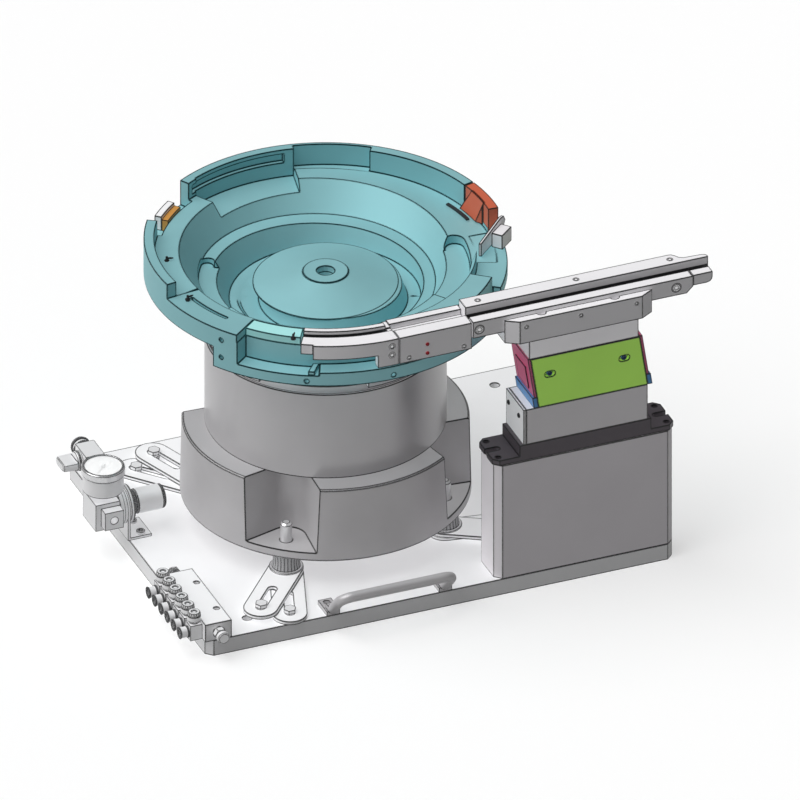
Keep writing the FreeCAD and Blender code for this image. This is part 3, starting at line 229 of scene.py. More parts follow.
def makeFinish(name, f):
    mat = bpy.data.materials.new(name)
    mat.use_nodes = True
    tree = mat.node_tree
    make, link = tree.nodes.new, tree.links.new
    shader = tree.nodes["Principled BSDF"]
    shader.inputs["Metallic"].default_value = f["metal"]
    shader.inputs["Specular IOR Level"].default_value = texture["gloss"]
    place = make("ShaderNodeTexCoord")

    cloud = make("ShaderNodeTexNoise")    # slow cloudy change of tone
    cloud.inputs["Scale"].default_value = texture["cloudScale"]
    cloud.inputs["Detail"].default_value = 4
    link(place.outputs["Object"], cloud.inputs["Vector"])
    tone = make("ShaderNodeMapRange")
    tone.inputs["From Min"].default_value = 0.3
    tone.inputs["From Max"].default_value = 0.7
    tone.inputs["To Min"].default_value = 1 - f["cloud"]
    tone.inputs["To Max"].default_value = 1 + f["cloud"] * 0.5
    link(cloud.outputs["Fac"], tone.inputs["Value"])
    tinted = make("ShaderNodeVectorMath")
    tinted.operation = "SCALE"
    tinted.inputs[0].default_value = f["color"]
    link(tone.outputs[0], tinted.inputs["Scale"])

    rounded = make("ShaderNodeBevel")      # how far the surface bends within the line's width
    rounded.samples = texture["edgeSamples"]
    rounded.inputs["Radius"].default_value = f["lineWidth"] * mm
    own = make("ShaderNodeNewGeometry")
    bend = make("ShaderNodeVectorMath")
    bend.operation = "DOT_PRODUCT"
    link(rounded.outputs["Normal"], bend.inputs[0])
    link(own.outputs["Normal"], bend.inputs[1])
    edge = make("ShaderNodeMapRange")
    edge.inputs["From Min"].default_value = texture["edgeNone"]
    edge.inputs["From Max"].default_value = texture["edgeFull"]
    link(bend.outputs["Value"], edge.inputs["Value"])
    mix = make("ShaderNodeMix")
    mix.data_type = "RGBA"
    link(edge.outputs[0], mix.inputs["Factor"])
    link(tinted.outputs[0], mix.inputs["A"])
    mix.inputs["B"].default_value = (*f["line"], 1)
    link(mix.outputs["Result"], shader.inputs["Base Color"])

    grain = make("ShaderNodeTexNoise")    # fine grain of the surface
    grain.inputs["Scale"].default_value = f["grain"]
    grain.inputs["Detail"].default_value = 2
    link(place.outputs["Object"], grain.inputs["Vector"])
    bump = make("ShaderNodeBump")
    bump.inputs["Strength"].default_value = f["bump"]
    bump.inputs["Distance"].default_value = texture["bumpDepth"] * mm
    link(grain.outputs["Fac"], bump.inputs["Height"])
    link(bump.outputs["Normal"], shader.inputs["Normal"])
    polish = make("ShaderNodeMapRange")
    polish.inputs["To Min"].default_value = f["rough"] - texture["polishSpread"]
    polish.inputs["To Max"].default_value = f["rough"] + texture["polishSpread"]
    link(cloud.outputs["Fac"], polish.inputs["Value"])
    link(polish.outputs[0], shader.inputs["Roughness"])
    return mat


def makeGlass():
    # Milky glass: partly see-through, with a weak gloss and a faint cloudy change of polish
    mat = bpy.data.materials.new("clearGlass")
    mat.use_nodes = True
    tree = mat.node_tree
    shader = tree.nodes["Principled BSDF"]
    shader.inputs["Base Color"].default_value = (0.95, 0.95, 0.95, 1)
    shader.inputs["Alpha"].default_value = 0.72
    place = tree.nodes.new("ShaderNodeTexCoord")
    cloud = tree.nodes.new("ShaderNodeTexNoise")
    cloud.inputs["Scale"].default_value = 60
    tree.links.new(place.outputs["Object"], cloud.inputs["Vector"])
    polish = tree.nodes.new("ShaderNodeMapRange")
    polish.inputs["To Min"].default_value = 0.04
    polish.inputs["To Max"].default_value = 0.12
    tree.links.new(cloud.outputs["Fac"], polish.inputs["Value"])
    tree.links.new(polish.outputs[0], shader.inputs["Roughness"])
    return mat


finishOfSlot = {
    "teal_bowl": "tealBowl", "light_teal": "tealPaintedHighlight", "cast_grey": "castGrey",
    "drum_grey": "drumGrey", "plate_white": "plateWhite", "rail_metal": "railMetal",
    "dark_block": "darkBlock", "grey_block": "greyBlock", "stand_grey": "standGrey",
    "green_cover": "greenCover", "magenta_spring": "magentaSpring",
    "blue_clamp": "blueClamp", "orange_insert": "orangeInsert", "brown_insert": "brownInsert",
    "rubber": "rubberGrey", "steel": "brightSteel", "spring_steel": "springSteel", "ceramic": "ceramic",
    "white_body": "whiteBody", "knob_grey": "knobGrey", "dial_white": "dialWhite",
    "dark_needle": "needleBlack",
}
finishOfNode = {
    "linear_top_block": "topBlock", "carry_handle": "handleGrey", "linear_piezos": "magentaSpring",
    "foot_lugs": "plateWhite", "regulator_bracket": "whiteBody", "track_floor": "darkBlock",
    "gauge_case": "whiteBody", "lug_bolts": "whiteBody",
}


def dressNodes(materials):
    # Each CAD node gets its finish. Its triangles are joined and shaded smooth up to a sharp bend.
    for part in frame["record"]["subparts"]:
        obj = nodes[part["node"]]
        obj.data.materials.clear()
        finish = finishOfNode.get(part["node"], finishOfSlot[part["material_slot"]])
        obj.data.materials.append(materials[finish])
        if obj.data.attributes.get("custom_normal"):
            obj.data.attributes.remove(obj.data.attributes["custom_normal"])
        obj.data.polygons.foreach_set("use_smooth", [True] * len(obj.data.polygons))
        weld = obj.modifiers.new("join", "WELD")
        weld.merge_threshold = 0.002 * mm
        split = obj.modifiers.new("sharp", "EDGE_SPLIT")
        split.split_angle = radians(24)


def basisOf(axis):
    # Two directions square to the axis, so that first x second = axis
    a = np.array(axis, float) / np.linalg.norm(axis)
    helper = np.array((0, 0, 1.0)) if abs(a[2]) < 0.9 else np.array((1.0, 0, 0))
    first = np.cross(helper, a)
    first /= np.linalg.norm(first)
    return first, np.cross(a, first), a


def tubeFaces(rows, count):
    # Quads between neighbouring rings of points, and a fan to one middle point at each end
    k, j = np.meshgrid(np.arange(rows - 1), np.arange(count), indexing="ij")
    n = (j + 1) % count
    quads = np.stack([k * count + j, k * count + n, (k + 1) * count + n, (k + 1) * count + j], -1)
    low, high, top = rows * count, rows * count + 1, (rows - 1) * count
    j, n = np.arange(count), (np.arange(count) + 1) % count
    fans = [[low, b, c] for b, c in zip(n, j)] + [[high, top + b, top + c] for b, c in zip(j, n)]
    return quads.reshape(-1, 4).tolist() + fans


def turnedSurface(rows, centre, axis, count=40, outline=None):
    # Point (row, turn) = centre + axis * along + radius * outline(turn) * (first cos turn + second sin turn).
    # A row is (along, radius) or (along, radius, 1) where the outline applies. Both ends close in one point.
    first, second, a = basisOf(axis)
    turn = np.arange(count) * 2 * pi / count
    along = np.array([row[0] for row in rows], float)[:, None]
    radius = np.array([row[1] for row in rows], float)[:, None]
    shaped = np.array([len(row) > 2 for row in rows])[:, None]
    factor = np.where(shaped, outline(turn)[None, :] if outline else 1.0, 1.0)
    r = radius * factor
    ring = (np.cos(turn)[None, :, None] * first + np.sin(turn)[None, :, None] * second) * r[:, :, None]
    grid = np.array(centre, float) + ring + along[:, :, None] * a
    points = np.vstack([grid.reshape(-1, 3), np.array(centre) + a * along[0, 0],
                        np.array(centre) + a * along[-1, 0]])
    return points, tubeFaces(len(rows), count)


def turnedRing(rows, centre, axis, count=96):
    # Point (row, turn) as above, with the last row joined to the first, which leaves the middle open
    first, second, a = basisOf(axis)
    turn = np.arange(count) * 2 * pi / count
    rows = np.array(rows, float)
    ring = np.cos(turn)[None, :, None] * first + np.sin(turn)[None, :, None] * second
    grid = np.array(centre, float) + ring * rows[:, 1][:, None, None] + rows[:, 0][:, None, None] * a
    i, j = np.meshgrid(np.arange(len(rows)), np.arange(count), indexing="ij")
    n, e = (j + 1) % count, (i + 1) % len(rows)
    faces = np.stack([i * count + j, i * count + n, e * count + n, e * count + j], -1)
    return grid.reshape(-1, 3), faces.reshape(-1, 4).tolist()


def hexagon(turn):
    # Distance to the side of a hexagon whose flats lie at radius 1
    return 1 / np.cos((turn % (pi / 3)) - pi / 6)


def ribs(number, depth):
    # A round outline with rounded ribs: 1 - depth * (wave of the given number), flattened on top
    return lambda turn: 1 - depth * np.clip(0.5 - 0.8 * np.cos(number * turn), 0, 1)


def pushedOutline(outline, thickness):
    # A flat outline of 3-D points, pushed along the thickness vector
    low = np.array(outline, float)
    high = low + np.array(thickness, float)
    n = len(low)
    middle = [low.mean(axis=0), high.mean(axis=0)]
    points = np.vstack([low, high, middle])
    faces = []
    for k in range(n):
        m = (k + 1) % n
        faces += [[k, m, n + m, n + k], [2 * n, m, k], [2 * n + 1, n + k, n + m]]
    return points, faces


def addPieces(name, surfaces, material, body, replaced=(), smooth=True, sharp=28):
    # Several surfaces, in millimetres, become one piece that rides on a body
    points, faces, start = [], [], 0
    for p, f in surfaces:
        points.append(np.array(p) * mm)
        faces += [[start + v for v in face] for face in f]
        start += len(p)
    obj = addMesh(name, np.vstack(points), faces, smooth)
    if smooth:
        split = obj.modifiers.new("sharp", "EDGE_SPLIT")
        split.split_angle = radians(sharp)
    obj.data.materials.append(materials[material])
    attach(obj, body)
    if replaced:
        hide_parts(*replaced)
    return obj


def screwSurfaces(place, axis, headR, headHeight):
    # A socket head: a turned head with a bevelled rim and a six-sided hollow
    socket, bevel = headR * 0.5, headR * 0.14
    head = [(-0.4, headR), (headHeight - bevel, headR), (headHeight, headR - bevel), (headHeight, socket, 1),
            (headHeight * 0.35, socket, 1)]
    return turnedSurface(head, place, axis, 36, hexagon)


front, left, up = (0, -1, 0), (-1, 0, 0), (0, 0, 1)
screws = {
    "end_plate_screws": {
        "places": [(137.25, y, z) for y in (-172.3, -145.3) for z in (162.6, 196.2)], "axis": left,
        "head": 2.6, "height": 1.2, "finish": "darkBlock", "body": "base", "slot": "dark_block"},
    "side_plate_bolts": {
        "places": [(x, -181.2, 244.6) for x in (165.8, 245.3)], "axis": front,
        "head": 2.9, "height": 2.2, "finish": "blueClamp", "body": "base", "slot": "blue_clamp"},
    "outlet_red_screws": {
        "places": [(35.6, -181.5, z) for z in (308.1, 297.7)], "axis": front,
        "head": 2.0, "height": 0.8, "finish": "redScrew", "body": "bowl", "slot": "orange_insert"},
    "outlet_rail_screws": {
        "places": [(15.8, -181.5, 297.0), (74.6, -181.5, 296.7)], "axis": front,
        "head": 2.8, "height": 0.7, "finish": "brightSteel", "body": "bowl", "slot": "steel"},
    "rail_leg_screws": {
        "places": [(-2.4, -181.4, z) for z in (314.0, 304.0)], "axis": front,
        "head": 4.0, "height": 0.9, "finish": "brightSteel", "body": "bowl", "slot": "steel"},
    "track_rail_screws": {
        "places": [(x, -181.4, 312.1) for x in (91.2, 302.0)], "axis": front,
        "head": 4.5, "height": 0.5, "finish": "brightSteel", "body": "track", "slot": "steel"},
    "support_bar_screws": {
        "places": [(x, -191.0, 309.8) for x in (137.7, 196.0, 255.6)], "axis": front,
        "head": 2.6, "height": 0.8, "finish": "brightSteel", "body": "track", "slot": "steel"},
    "back_rail_screws": {
        "places": [(x, -152.8, 327.4) for x in (100.9, 206.1, 306.5)], "axis": up,
        "head": 2.5, "height": 0.4, "finish": "brightSteel", "body": "track", "slot": "steel"},
    "bracket_bolts": {
        "places": [(-187.1, y, 21.0) for y in (27.0, 49.0)], "axis": up,
        "head": 4.6, "height": 3.0, "finish": "brightSteel", "body": "base", "slot": "steel"},
}


def makeScrews():
    for name, k in screws.items():
        heads = [screwSurfaces(place, k["axis"], k["head"], k["height"]) for place in k["places"]]
        addPieces(name, heads, k["finish"], k["body"])


flowControls = {
    "x": -211.5, "first": -174.4, "pitch": 16.5, "count": 6, "axisZ": 28.0,
    "capR": 6.9, "capBottom": 9.4, "capTop": 21.8, "ribCount": 16, "ribDepth": 0.10,
}


def makeFlowControls():
    # Knobs: a ribbed drum with a plain collar and a shallow round hollow on top. Bodies get a collar and a
    # push-in ring.
    k = flowControls
    rings = []
    for index in range(k["count"]):
        y = k["first"] + k["pitch"] * index
        r, low, high = k["capR"], k["capBottom"], k["capTop"]
        rows = [(low, r * 0.72), (low + 1.6, r * 0.72), (low + 1.9, r * 0.98), (low + 3.2, r * 0.98),
                (low + 3.4, r), (high - 4.2, r), (high - 4.0, r * 0.97, 1), (high - 1.1, r * 0.97, 1),
                (high, r * 0.84), (high, r * 0.42), (high - 1.2, r * 0.36)]
        name = "flow_knob_%d" % (index + 1)
        addPieces("knob_" + str(index + 1), [turnedSurface(rows, (k["x"], y, k["axisZ"]), (0, 0, 1), 64,
                                                           ribs(k["ribCount"], k["ribDepth"]))],
                  "whiteBody", "flow_cap_%d" % (index + 1), [name])
        start = (k["x"], y, k["axisZ"])
        rings.append(turnedSurface([(14.8, 4.2), (14.8, 5.9), (15.6, 6.2), (16.0, 6.2), (16.0, 3.3),
                                    (15.2, 3.1)], start, (-1, 0, 0), 36))
        rings.append(turnedSurface([(6.5, 5.6), (6.9, 6.3), (8.2, 6.3), (8.6, 5.6)], start, (-1, 0, 0), 36))
    addPieces("push_in_rings", rings, "darkRing", "base")


gauge = {
    "centre": (-221.5, 41.0), "shoulder": 90.6, "top": 99.75, "bezelR": 21.8,
    "windowR": 18.6, "dialZ": 95.6, "ticks": 51, "firstTick": 225.0, "sweep": 270.0,
}


def makeGauge():
    # A turned bezel, a glass disc, and a scale of short bars round the dial
    k = gauge
    x, y = k["centre"]
    z1, b = k["shoulder"], k["bezelR"]
    top, w = k["top"], k["windowR"]
    bezel = [(z1 + 0.1, w), (z1 + 0.1, b - 0.6), (z1 + 0.7, b), (top - 1.6, b), (top - 0.3, b - 1.1),
             (top - 0.1, b - 2.0), (top - 0.6, w)]
    addPieces("gauge_rim", [turnedRing(bezel, (x, y, 0), up)], "brightSteel", "base",
              ["gauge_bezel"])
    glass = [(top - 2.4, w - 0.05), (top - 1.5, w - 0.05), (top - 1.0, w * 0.7), (top - 0.8, w * 0.35)]
    addPieces("gauge_glass", [turnedSurface(glass, (x, y, 0), up, 96)], "clearGlass", "base")
    bars = []
    for index in range(k["ticks"]):
        angle = radians(k["firstTick"] - k["sweep"] * index / (k["ticks"] - 1))
        long = index % 5 == 0
        outward = np.array((cos(angle), sin(angle), 0))
        across = np.array((-sin(angle), cos(angle), 0)) * (0.28 if long else 0.16)
        start = np.array((x, y, k["dialZ"])) + outward * (12.8 if long else 14.4)
        end = np.array((x, y, k["dialZ"])) + outward * 16.4
        bars.append(pushedOutline([start - across, end - across, end + across, start + across], (0, 0, 0.12)))
    addPieces("gauge_scale", bars, "needleBlack", "base", smooth=False)


regulator = {
    "axis": (38.0, 51.7), "ringX": -211.4, "bonnetR": 19.5, "nutX": -199.85, "nutR": 19.5, "nutLength": 5.0,
    "knobX": -193.35, "knobR": 12.8, "knobLength": 34.0, "ribCount": 40, "ribDepth": 0.05,
}


def makeRegulator():
    # Turned knob with a ribbed skirt and a rounded end, a ribbed nut, and two raised rings on the bonnet
    k = regulator
    y, z = k["axis"]
    along = (1, 0, 0)
    ribbed = ribs(k["ribCount"], k["ribDepth"])
    x0, r, length = k["knobX"], k["knobR"], k["knobLength"]
    knob = [(0, r * 0.75), (0, r * 0.98, 1), (3.0, r * 0.98, 1), (3.3, r * 0.93), (4.2, r * 0.93), (4.6, r),
            (length - 3.6, r), (length - 3.3, r * 0.97, 1), (length - 1.2, r * 0.97, 1), (length, r * 0.88)]
    addPieces("regulator_hand_knob", [turnedSurface(knob, (x0, y, z), along, 160, ribbed)], "whiteBody",
              "regulator_cap", ["regulator_knob"])
    r, length = k["nutR"], k["nutLength"]
    nut = [(0.0, 15.2), (0.0, r * 0.97), (0.5, r), (3.2, r), (3.4, r * 0.97, 1), (length - 0.3, r * 0.97, 1),
           (length, r * 0.92), (length, 15.6)]
    addPieces("regulator_ring_nut", [turnedSurface(nut, (k["nutX"], y, z), along, 160, ribbed)], "whiteBody",
              "base", ["regulator_nut"])
    r = k["bonnetR"]
    bonnet = [(0.0, 18.0), (0.3, r + 0.5), (5.0, r + 0.5), (5.2, r - 0.2, 1), (7.4, r - 0.2, 1), (7.8, 18.6)]
    addPieces("regulator_bonnet_rings", [turnedSurface(bonnet, (k["ringX"], y, z), along, 160, ribbed)],
              "whiteBody", "base")


bar = {
    "x0": 117.6, "x1": 275.2, "front": -191.0, "shoulder": -183.0, "corner": 13.3, "lipBack": -181.65,
    "back": -144.0, "low": 290.95, "bed": 302.85, "top": 317.0, "notchBottom": 311.5,
    "notches": (157.2, 235.6), "notchR": 4.6,
}


def makeBar():
    # The support bar: a bed, and a lip with bevelled ends and two round notches in its back edge.
    # The lip is one closed mesh: its back wall steps down at the notches, whose walls follow half circles.
    k = bar
    low, high, floor, back = k["low"], k["top"], k["notchBottom"], k["lipBack"]
    ends = [(k["x0"], back), (k["x0"], k["shoulder"]), (k["x0"] + k["corner"], k["front"]),
            (k["x1"] - k["corner"], k["front"]), (k["x1"], k["shoulder"]), (k["x1"], back)]
    points = [(x, y, low) for x, y in ends] + [(x, y, high) for x, y in ends]
    faces = [[i, i + 1, i + 7, i + 6] for i in range(5)] + [[5, 4, 3, 2, 1, 0]]
    top, wall = list(range(6, 12)), [0, 6]
    arc = np.linspace(pi, 0, 13)
    for x in sorted(k["notches"]):
        start = len(points)
        arch = [(x + k["notchR"] * cos(t), back - k["notchR"] * sin(t)) for t in arc]
        points += [(u, v, high) for u, v in arch] + [(u, v, floor) for u, v in arch]
        upper, lower = list(range(start, start + 13)), list(range(start + 13, start + 26))
        faces += [[upper[i], upper[i + 1], lower[i + 1], lower[i]] for i in range(12)] + [lower]
        wall += [upper[0], lower[0], lower[-1], upper[-1]]
    for start in sorted(range(12, len(points), 26), reverse=True):
        top += list(range(start, start + 13))[::-1]
    wall += [11, 5]
    faces += [top, wall]
    bed = block(k["x0"], k["x1"], back + seam, k["back"], low, k["bed"])
    addPieces("bar_with_notches", [(np.array(points), faces), bed], "railMetal", "track",
              ["support_bar"], smooth=False)


trackRails = {
    "frontY": (-181.5, -170.0), "tipY": -180.5, "backTop": 327.6, "low": 303.0,
    "front": ((84.2, 303.0), (313.2, 303.0), (320.2, 310.0), (320.2, 321.6), (84.2, 321.6)),
    "tip": ((319.0, 309.9), (335.0, 309.9), (338.5, 310.8), (340.6, 313.2), (341.2, 316.0), (341.2, 321.6),
            (319.0, 321.6)),
    "back": ((84.2, -161.5), (344.0, -161.5), (344.0, -158.8), (342.4, -156.4), (338.5, -155.2),
             (320.5, -154.2), (316.5, -152.0), (313.8, -147.6), (311.0, -144.6), (307.5, -144.0),
             (84.2, -144.0)),
    "slotShade": (84.4, 343.0, -162.1, -161.3, 313.6, 319.4),
}


def counterboreShadeRing(inner, outer):
    # Profile of a dark ring of painted shade round a screw hole, standing in for the shade in its
    # counterbore, as (height, radius)
    return [(-0.3, inner), (-0.3, outer), (0.12, outer), (0.12, inner)]


def makeTrackRails():
    # Straight rails: side views pushed across the track and a top view pushed upwards. Painted shade: a thin
    # black sheet on the slot's back wall, and dark rings round the screw holes for the shade in their
    # counterbores
    k = trackRails
    y0, y1 = k["frontY"]
    rail = [pushedOutline([(x, y0, z) for x, z in k["front"][::-1]], (0, y1 - y0, 0)),
            pushedOutline([(x, k["tipY"], z) for x, z in k["tip"][::-1]], (0, y1 - k["tipY"], 0))]
    addPieces("track_rail_front", rail, "railMetal", "track", ["track_front_rail"],
              smooth=False)
    back = pushedOutline([(x, y, k["low"]) for x, y in k["back"]], (0, 0, k["backTop"] - k["low"]))
    addPieces("track_rail_back", [back], "railMetal", "track", ["track_back_rail"],
              smooth=False)
    # Painted shade: a thin black sheet on the back wall of the slot between the rails
    addPieces("track_slot_painted_shade", [block(*k["slotShade"])], "inkBlack", "track", smooth=False)
    # Painted shade: dark rings round the screw holes stand in for the shade in their counterbores
    rings = []
    for x, y, z in screws["back_rail_screws"]["places"]:
        rings.append(turnedRing(counterboreShadeRing(2.6, 3.4), (x, y, k["backTop"]), up, 48))
    for x, y, z in screws["track_rail_screws"]["places"]:
        rings.append(turnedRing(counterboreShadeRing(4.6, 5.5), (x, y0, z), front, 48))
    addPieces("track_counterbore_shade", rings, "darkRing", "track")


strips = {
    "trackInlay": {"r0": 158.2, "r1": 161.6, "start": 28.0, "end": 41.0, "z": 310.6, "height": 1.6},
    # Painted shade: black strips on the floors of the curved rail's and the outlet rails' slots
    "curvedSlotShade": {"r0": 158.8, "r1": 163.6, "start": 262.6, "end": 291.6, "z": 313.4, "height": 0.8},
    "outletSlotShade": {"x0": 6.4, "x1": 82.4, "y0": -165.2, "y1": -158.5, "z": 315.7, "height": 0.7},
    "sideSeam": {"x0": 146.2, "x1": 260.6, "y0": -184.4, "y1": -183.4, "z": 264.9, "height": 1.6},
}


def arcBlock(corners, steps=32):
    # Point (step, corner) = (radius cos angle, radius sin angle, height). Each corner (radius, start, end,
    # height) walks from its start angle to its end angle, counted from the bowl's line.
    c = np.array(corners, float)
    share = np.linspace(0, 1, steps)[:, None]
    angle = np.radians(c[:, 1] + (c[:, 2] - c[:, 1]) * share + bowlTurn)
    grid = np.stack([c[:, 0] * np.cos(angle), c[:, 0] * np.sin(angle), c[:, 3] + 0 * angle], -1)
    n = len(c)
    k, j = np.meshgrid(np.arange(steps - 1), np.arange(n), indexing="ij")
    m = (j + 1) % n
    faces = np.stack([k * n + j, (k + 1) * n + j, (k + 1) * n + m, k * n + m], -1).reshape(-1, 4).tolist()
    last = (steps - 1) * n
    return grid.reshape(-1, 3), faces + [list(range(n)), [last + i for i in range(n)][::-1]]


def sector(r0, r1, start, end, low, high):
    # A part of a flat ring with a square section
    corners = ((r0, low), (r1, low), (r1, high), (r0, high))
    return arcBlock([(r, start, end, z) for r, z in corners])


def block(x0, x1, y0, y1, low, high):
    # A straight length of rail: its end face pushed along X
    end = ((y0, low), (y1, low), (y1, high), (y0, high))
    return pushedOutline([(x0, y, z) for y, z in end], (x1 - x0, 0, 0))


def arcStrip(k):
    # A thin curved strip that lies on the track
    return sector(k["r0"], k["r1"], k["start"], k["end"], k["z"], k["z"] + k["height"])


def barStrip(k):
    # A flat straight bar with a bevelled upper edge
    x0, x1, y0, y1, z, c = k["x0"], k["x1"], k["y0"], k["y1"], k["z"], k["height"] * 0.25
    side = [(y0, z), (y1, z), (y1, z + k["height"] - c), (y1 - c, z + k["height"]), (y0 + c, z + k["height"]),
            (y0, z + k["height"] - c)]
    return pushedOutline([(x0, y, h) for y, h in side], (x1 - x0, 0, 0))


def makeStrips():
    # Dark strips: the track's inlay, the seam over the side plate, and painted shade on the floors of the
    # rails' slots
    for name, strip, form, body in (
            ("track_inlay", "trackInlay", arcStrip, "bowl"),
            ("curved_slot_shade_strip", "curvedSlotShade", arcStrip, "bowl"),
            ("outlet_slot_shade_strip", "outletSlotShade", barStrip, "bowl"),
            ("side_plate_seam", "sideSeam", barStrip, "base")):
        addPieces(name, [form(strips[strip])], "inkBlack", body, smooth=False)


island = {
    "profile": ((284.9, 8.9), (284.9, 72.6), (286.18, 72.6), (297.42, 23.0), (298.5, 22.6), (298.5, 8.9)),
}


def makeIsland():
    # The low cone on the bowl's island and a flat ring round the centre bolt: a profile turned about the axis
    cone = turnedRing(island["profile"], (0, 0, 0), up)
    addPieces("island_cone", [cone], "tealBowl", "bowl")


rails = {
    "outer": 181.5, "inner": 164.0, "slot": 158.5, "back": 152.0, "low": 291.6, "floor": 305.6, "bed": 313.6,
    "top": 321.6, "backTop": 324.6, "start": 262.0, "end": 292.05, "endStep": 4.0, "endInset": 2.5,
    "notchRise": 4.5, "legStart": 286.65, "legWidth": 9.3, "legX": 5.0,
    "outletX": (5.6, 83.0), "outletY": (-181.5, -165.5, -153.0, -144.0), "outletFloor": (309.8, 315.8),
}


def makeRails():
    # Curved rail: sectors of flat rings, with a step and a notch at its free end and a leg at the other.
    # Outlet rails: straight blocks that carry on from it.
    k = rails
    outer, inner, slot = k["outer"], k["inner"], k["slot"]
    back, floor, top = k["back"], k["floor"], k["top"]
    start, end, turn = k["start"], k["end"], k["start"] + k["endStep"]
    x0, x1, level = seam * 4, k["legX"], k["bed"] + 5.0
    curved = [
        sector(inner, outer - k["endInset"], start, turn - seam, floor + k["notchRise"], top),
        sector(inner, outer, turn, end, floor, top),
        sector(slot, inner - seam, start, end, floor, k["bed"]),
        sector(back, slot - seam, start, end, floor, k["backTop"]),
        sector(outer - k["legWidth"], outer, k["legStart"], end, k["low"], floor - seam),
        block(x0, x1, -outer, -inner - seam, k["low"], top),
        block(x0, x1 + 0.5, -inner, -slot - seam, level, top - 1.2),
        block(x0, x1 + 0.5, -slot, -back + 6.0, level, top),
    ]
    # Painted shade: a thin black sheet on the back wall of the curved rail's slot
    slotShade = [sector(slot, slot + 0.4, start, end, k["bed"] + 0.5, top - 0.5)]
    addPieces("curved_slot_painted_shade", slotShade, "inkBlack", "bowl", smooth=False)
    addPieces("curved_rail_with_leg", curved, "railMetal", "bowl", ["curved_rail"], sharp=24)
    x0, x1 = k["outletX"]
    y0, y1, y2, y3 = k["outletY"]
    outlet = [block(x0, x1, y0, y1, k["low"], top), block(x0, x1, y1, y2, *k["outletFloor"])]
    addPieces("outlet_rail_front", outlet, "railMetal", "bowl", ["outlet_front_rail"],
              smooth=False)
    addPieces("outlet_rail_back", [block(x0, x1, y2, y3, k["low"], top)], "railMetal", "bowl",
              ["outlet_back_rail"], smooth=False)


insert = {
    "strip": (170.0, 180.7, 18.5, 35.4, 310.4, 336.5),
    "slope": ((165.0, 26.0, 36.5, 310.4), (171.0, 22.7, 35.0, 310.4), (171.0, 22.7, 31.5, 336.5),
              (169.6, 22.7, 31.5, 336.5)),
}


def makeInsert():
    # The wear insert: a strip of the rim's ring, and a sloping face down to the track
    addPieces("wear_insert", [sector(*insert["strip"]), arcBlock(insert["slope"])], "orangeInsert", "bowl",
              ["track_insert"], sharp=24)


clamps = {"r0": 104.2, "r1": 124.0, "low": 233.3, "high": 247.3,
          "spans": ((226.0, 238.0), (290.0, 318.0), (46.0, 58.0), (110.0, 138.0))}


def makeClamps():
    # Clamp blocks below the rim: sectors of one flat ring
    k = clamps
    addPieces("clamp_blocks", [sector(k["r0"], k["r1"], a, b, k["low"], k["high"]) for a, b in k["spans"]],
              "railMetal", "bowl", ["bowl_clamps"], sharp=24)


fittings = {
    "x": -190.0, "z": 28.0, "front": -185.75, "back": -80.45, "hexR": 5.9, "ribCount": 24,
}


def makeFittings():
    # The manifold's plug and its air inlet: a six-sided collar, a groove and a ribbed round end
    k = fittings
    ribbed = ribs(k["ribCount"], 0.06)
    plug = [(0.0, 6.3), (1.6, 6.6), (1.9, k["hexR"], 1), (8.2, k["hexR"], 1), (8.5, 5.0), (9.6, 5.0),
            (9.9, 6.4), (14.6, 6.4), (15.7, 5.2)]
    inlet = [(0.0, 6.3), (1.6, 6.6), (1.9, k["hexR"], 1), (7.2, k["hexR"], 1), (7.5, 5.2), (8.6, 5.2),
             (8.9, 6.5, 1), (14.4, 6.5, 1), (15.8, 5.9), (15.8, 4.1), (6.0, 3.9)]
    addPieces("manifold_plug_and_inlet", [
        turnedSurface(plug, (k["x"], k["front"], k["z"]), (0, -1, 0), 96, hexagon),
        turnedSurface(inlet, (k["x"], k["back"], k["z"]), (0, 1, 0), 96,
                      lambda turn: np.minimum(hexagon(turn), 1.12) * ribbed(turn)),
    ], "whiteBody", "base", ["manifold_fittings"])


valve = {
    "centre": (-212.7, 73.0), "back": 112.0, "portR": 9.2, "grip": (-245.0, -229.4), "gripY": 97.75,
    "gripHalfY": 11.5, "gripHalfZ": 4.6, "discX": -223.0,
}


def roundedBar(x0, x1, middleY, middleZ, halfY, halfZ, taper, count=48):
    # Point (row, turn): a rounded rectangle |y|^5 + |z|^5 = 1 whose size follows the rows along X
    rows = [(0.0, 0.86), (0.06, 0.97), (0.2, 1.0), (0.8, 1.0 - taper * 0.6), (0.94, 0.97 - taper),
            (1.0, 0.82 - taper)]
    turn = np.arange(count) * 2 * pi / count
    corner = (np.abs(np.cos(turn)) ** 5 + np.abs(np.sin(turn)) ** 5) ** (-0.2)
    rings = []
    for share, size in rows:
        y = middleY + halfY * size * corner * np.cos(turn)
        z = middleZ - halfZ * size * corner * np.sin(turn)
        rings.append(np.stack([np.full(count, x0 + (x1 - x0) * share), y, z], -1))
    grid = np.concatenate(rings)
    points = np.vstack([grid, (x0, middleY, middleZ), (x1, middleY, middleZ)])
    return points, tubeFaces(len(rows), count)


